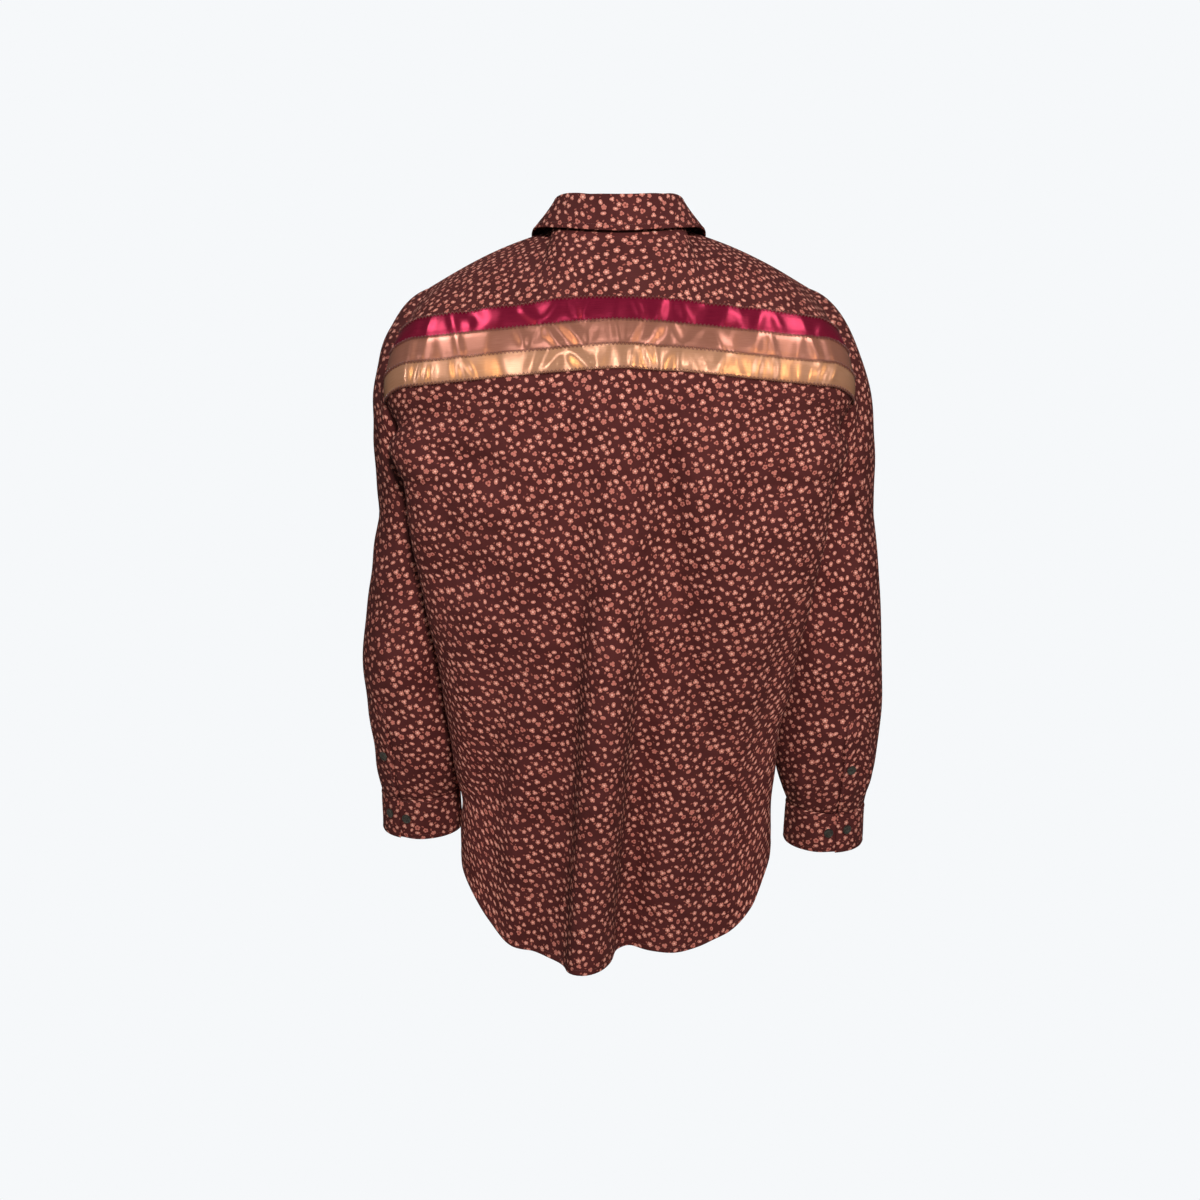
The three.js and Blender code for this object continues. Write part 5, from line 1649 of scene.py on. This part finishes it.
def placed_copy(shape, name, seat, turn, material):
    mesh = shape.copy()
    mesh.name = name
    mesh.transform(Matrix.Scale(MM, 4) @ Matrix.Translation(seat) @ turn.to_matrix().to_4x4())
    mesh.materials.clear()
    mesh.materials.append(material)
    piece = bpy.data.objects.new(name, mesh)
    bpy.context.collection.objects.link(piece)
    return piece


button_shape, bars_shape = turned_button(), thread_bars()
for name, node in sorted(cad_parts.items()):
    if not name.startswith("button_"):
        continue
    seat, turn = seat_of(node)
    button = placed_copy(button_shape, name.replace("button_", "shirt_button_"), seat, turn, HORN)
    pieces[button.name] = ride(button, "button", name)
    bars = placed_copy(bars_shape, name.replace("button_", "thread_on_button_"), seat, turn, BUTTON_THREAD)
    pieces[bars.name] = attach(bars, "root")


# ---- what each piece of cloth was cut to -----------------------------------------------------
# Each piece with what it hangs from, and the stitches and buttons on it by the start of their
# names.

HANGS_FROM = {
    "yoke": (), "back": ("yoke",), "front_left": ("yoke",), "front_right": ("yoke",),
    "sleeve_left": ("yoke", "back", "front_left"), "sleeve_right": ("yoke", "back", "front_right"),
    "cuff_left": ("sleeve_left",), "cuff_right": ("sleeve_right",),
    "sleeve_placket_left": ("sleeve_left",), "sleeve_placket_right": ("sleeve_right",),
    "collar_stand": ("yoke",), "collar_fall": ("collar_stand",),
    "ribbon_wine": ("back",), "ribbon_rose": ("back",), "ribbon_gold": ("back",),
}
SEWN_ON = {
    "yoke": ("stitches_yoke",), "back": ("stitches_back",), "front_left": ("stitches_front_left",),
    "front_right": ("stitches_front_right", "shirt_button_front", "thread_on_button_front"),
    "sleeve_left": ("stitches_sleeve_left",), "sleeve_right": ("stitches_sleeve_right",),
    "cuff_left": ("shirt_button_cuff_left", "thread_on_button_cuff_left"),
    "cuff_right": ("shirt_button_cuff_right", "thread_on_button_cuff_right"),
    "collar_stand": ("stitches_collar_stand", "shirt_button_stand", "thread_on_button_stand"),
    "collar_fall": ("stitches_collar",),
    "ribbon_wine": ("zigzag_wine",), "ribbon_rose": ("zigzag_rose",), "ribbon_gold": ("zigzag_gold",),
}


def cut_of(piece):
    """Width, length and area of the flat layout that the piece's print lies on, in metres,
    without seam allowances and all round on a sleeve. The inner side repeats the outer one."""
    mesh = piece.data
    places = np.zeros(2 * len(mesh.loops))
    mesh.uv_layers["cut"].data.foreach_get("uv", places)
    across, down = places.reshape(-1, 2).T
    first, count = np.zeros((2, len(mesh.polygons)), int)
    mesh.polygons.foreach_get("loop_start", first)
    mesh.polygons.foreach_get("loop_total", count)
    following = np.arange(1, len(across) + 1)
    following[first + count - 1] = first
    turned = across * down[following] - across[following] * down
    both_sides = np.abs(np.add.reduceat(turned, first)).sum() / 2
    return (float(np.ptp(across)), float(np.ptp(down))), float(both_sides / 2)


declared = set()
for name, hangs_from in HANGS_FROM.items():
    starts = SEWN_ON.get(name)
    on_it = [p for n, p in pieces.items() if starts and n.startswith(starts) and n not in declared]
    declared.update(p.name for p in on_it)
    flat, area = cut_of(pieces[name])


# ---- floor, lights and camera ----------------------------------------------------------------

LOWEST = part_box("back")[0][2]
FLOOR_BELOW_HEM = 0.30
PALE = "#f6f8fa"
ROOM_LIGHT = 0.12
COOL, WARM = "#fff2f6", "#ffdca0"


def pale_glow(tree):
    """A plain even paleness for what is seen straight behind and below the shirt."""
    return add(tree, "ShaderNodeEmission", linear(PALE), 1.0).outputs[0]


def plain_floor():
    mesh = bpy.data.meshes.new("floor")
    reach, level = 14.0, LOWEST - FLOOR_BELOW_HEM
    corners = [(x * reach, y * reach, level) for x, y in ((-1, -1), (1, -1), (1, 1), (-1, 1))]
    mesh.from_pydata(corners, [], [(0, 1, 2, 3)])
    floor = bpy.data.objects.new("floor", mesh)
    bpy.context.collection.objects.link(floor)
    material, tree, shader = new_material("pale matt floor", {
        "Roughness": 0.95, "Base Color": linear("#aaa39d"),
    })
    seen = add(tree, "ShaderNodeLightPath").outputs["Is Camera Ray"]
    mixed = add(tree, "ShaderNodeMixShader", seen, shader.outputs[0], pale_glow(tree))
    tree.links.new(mixed.outputs[0], tree.nodes["Material Output"].inputs["Surface"])
    mesh.materials.append(material)


def pale_studio():
    """An even pale room, whose own light on the shirt is weak beside the lamps."""
    world = bpy.data.worlds.new("pale studio")
    world.use_nodes = True
    tree = world.node_tree
    weak = tree.nodes["Background"]
    weak.inputs["Color"].default_value = linear(PALE)
    weak.inputs["Strength"].default_value = ROOM_LIGHT
    seen = add(tree, "ShaderNodeLightPath").outputs["Is Camera Ray"]
    mixed = add(tree, "ShaderNodeMixShader", seen, weak.outputs[0], pale_glow(tree))
    tree.links.new(mixed.outputs[0], tree.nodes["World Output"].inputs["Surface"])
    bpy.context.scene.world = world


def soft_light(name, round_to, up, far, width, tall, power, colour, lights=True, mirrored=True):
    """A soft box at an angle round from behind the shirt, shining at its middle. One that doesn't
    light is only mirrored, and one that isn't mirrored only lights."""
    light = bpy.data.lights.new(name, "AREA")
    light.shape = "RECTANGLE"
    light.size = width
    light.size_y = tall
    light.energy = power
    light.color = linear(colour)[:3]
    lamp = bpy.data.objects.new(name, light)
    turn, rise = math.radians(round_to), math.radians(up)
    middle = Vector((0, 0, -0.3))
    away = Vector((math.sin(turn) * math.cos(rise), math.cos(turn) * math.cos(rise), math.sin(rise)))
    lamp.location = middle + away * far
    lamp.rotation_euler = away.to_track_quat("Z", "Y").to_euler()
    lamp.visible_diffuse, lamp.visible_glossy = lights, mirrored
    bpy.context.collection.objects.link(lamp)


plain_floor()
pale_studio()
# The key light, nearer the shoulders than the hem, shapes the cotton; the satin doesn't mirror it.
soft_light("key", -6, 29, 2.4, 0.36, 0.36, 52, "#fff6ee", mirrored=False)
soft_light("front", 165, 26, 2.8, 1.2, 1.2, 46, "#fff6ee", mirrored=False)
# Lamps that only the satin mirrors: two high ones for the wine ribbon's ends, and narrow strips,
# each a bright line wherever the ribbon tips that way.
soft_light("high left", 58, 53, 2.5, 0.8, 0.5, 20, COOL, lights=False)
soft_light("high right", -55, 53, 2.5, 0.8, 0.5, 17, COOL, lights=False)
for round_to, up, colour in (
    (66, 9, COOL), (50, 10, WARM), (36, 14, COOL), (22, 18, WARM), (9, 25, COOL), (-13, 24, COOL),
    (-22, 18, WARM), (-34, 15, WARM), (-50, 10, COOL), (-66, 8, WARM),
):
    soft_light(f"strip {round_to}", round_to, up, 2.5, 0.03, 0.8, 4.6, colour, lights=False)
bpy.context.scene.view_settings.view_transform = "Standard"

CAMERA_PITCH = 13.5                  # degrees, looking down at the back
camera = bpy.data.cameras.new("camera")
camera.lens = 40.5
camera.sensor_width = 36
camera.clip_end = 60
viewer = bpy.data.objects.new("camera", camera)
viewer.location = (0.0200, 1.48305, -0.04743)
viewer.rotation_euler = (math.radians(90 - CAMERA_PITCH), 0, math.pi)
bpy.context.collection.objects.link(viewer)
bpy.context.scene.camera = viewer
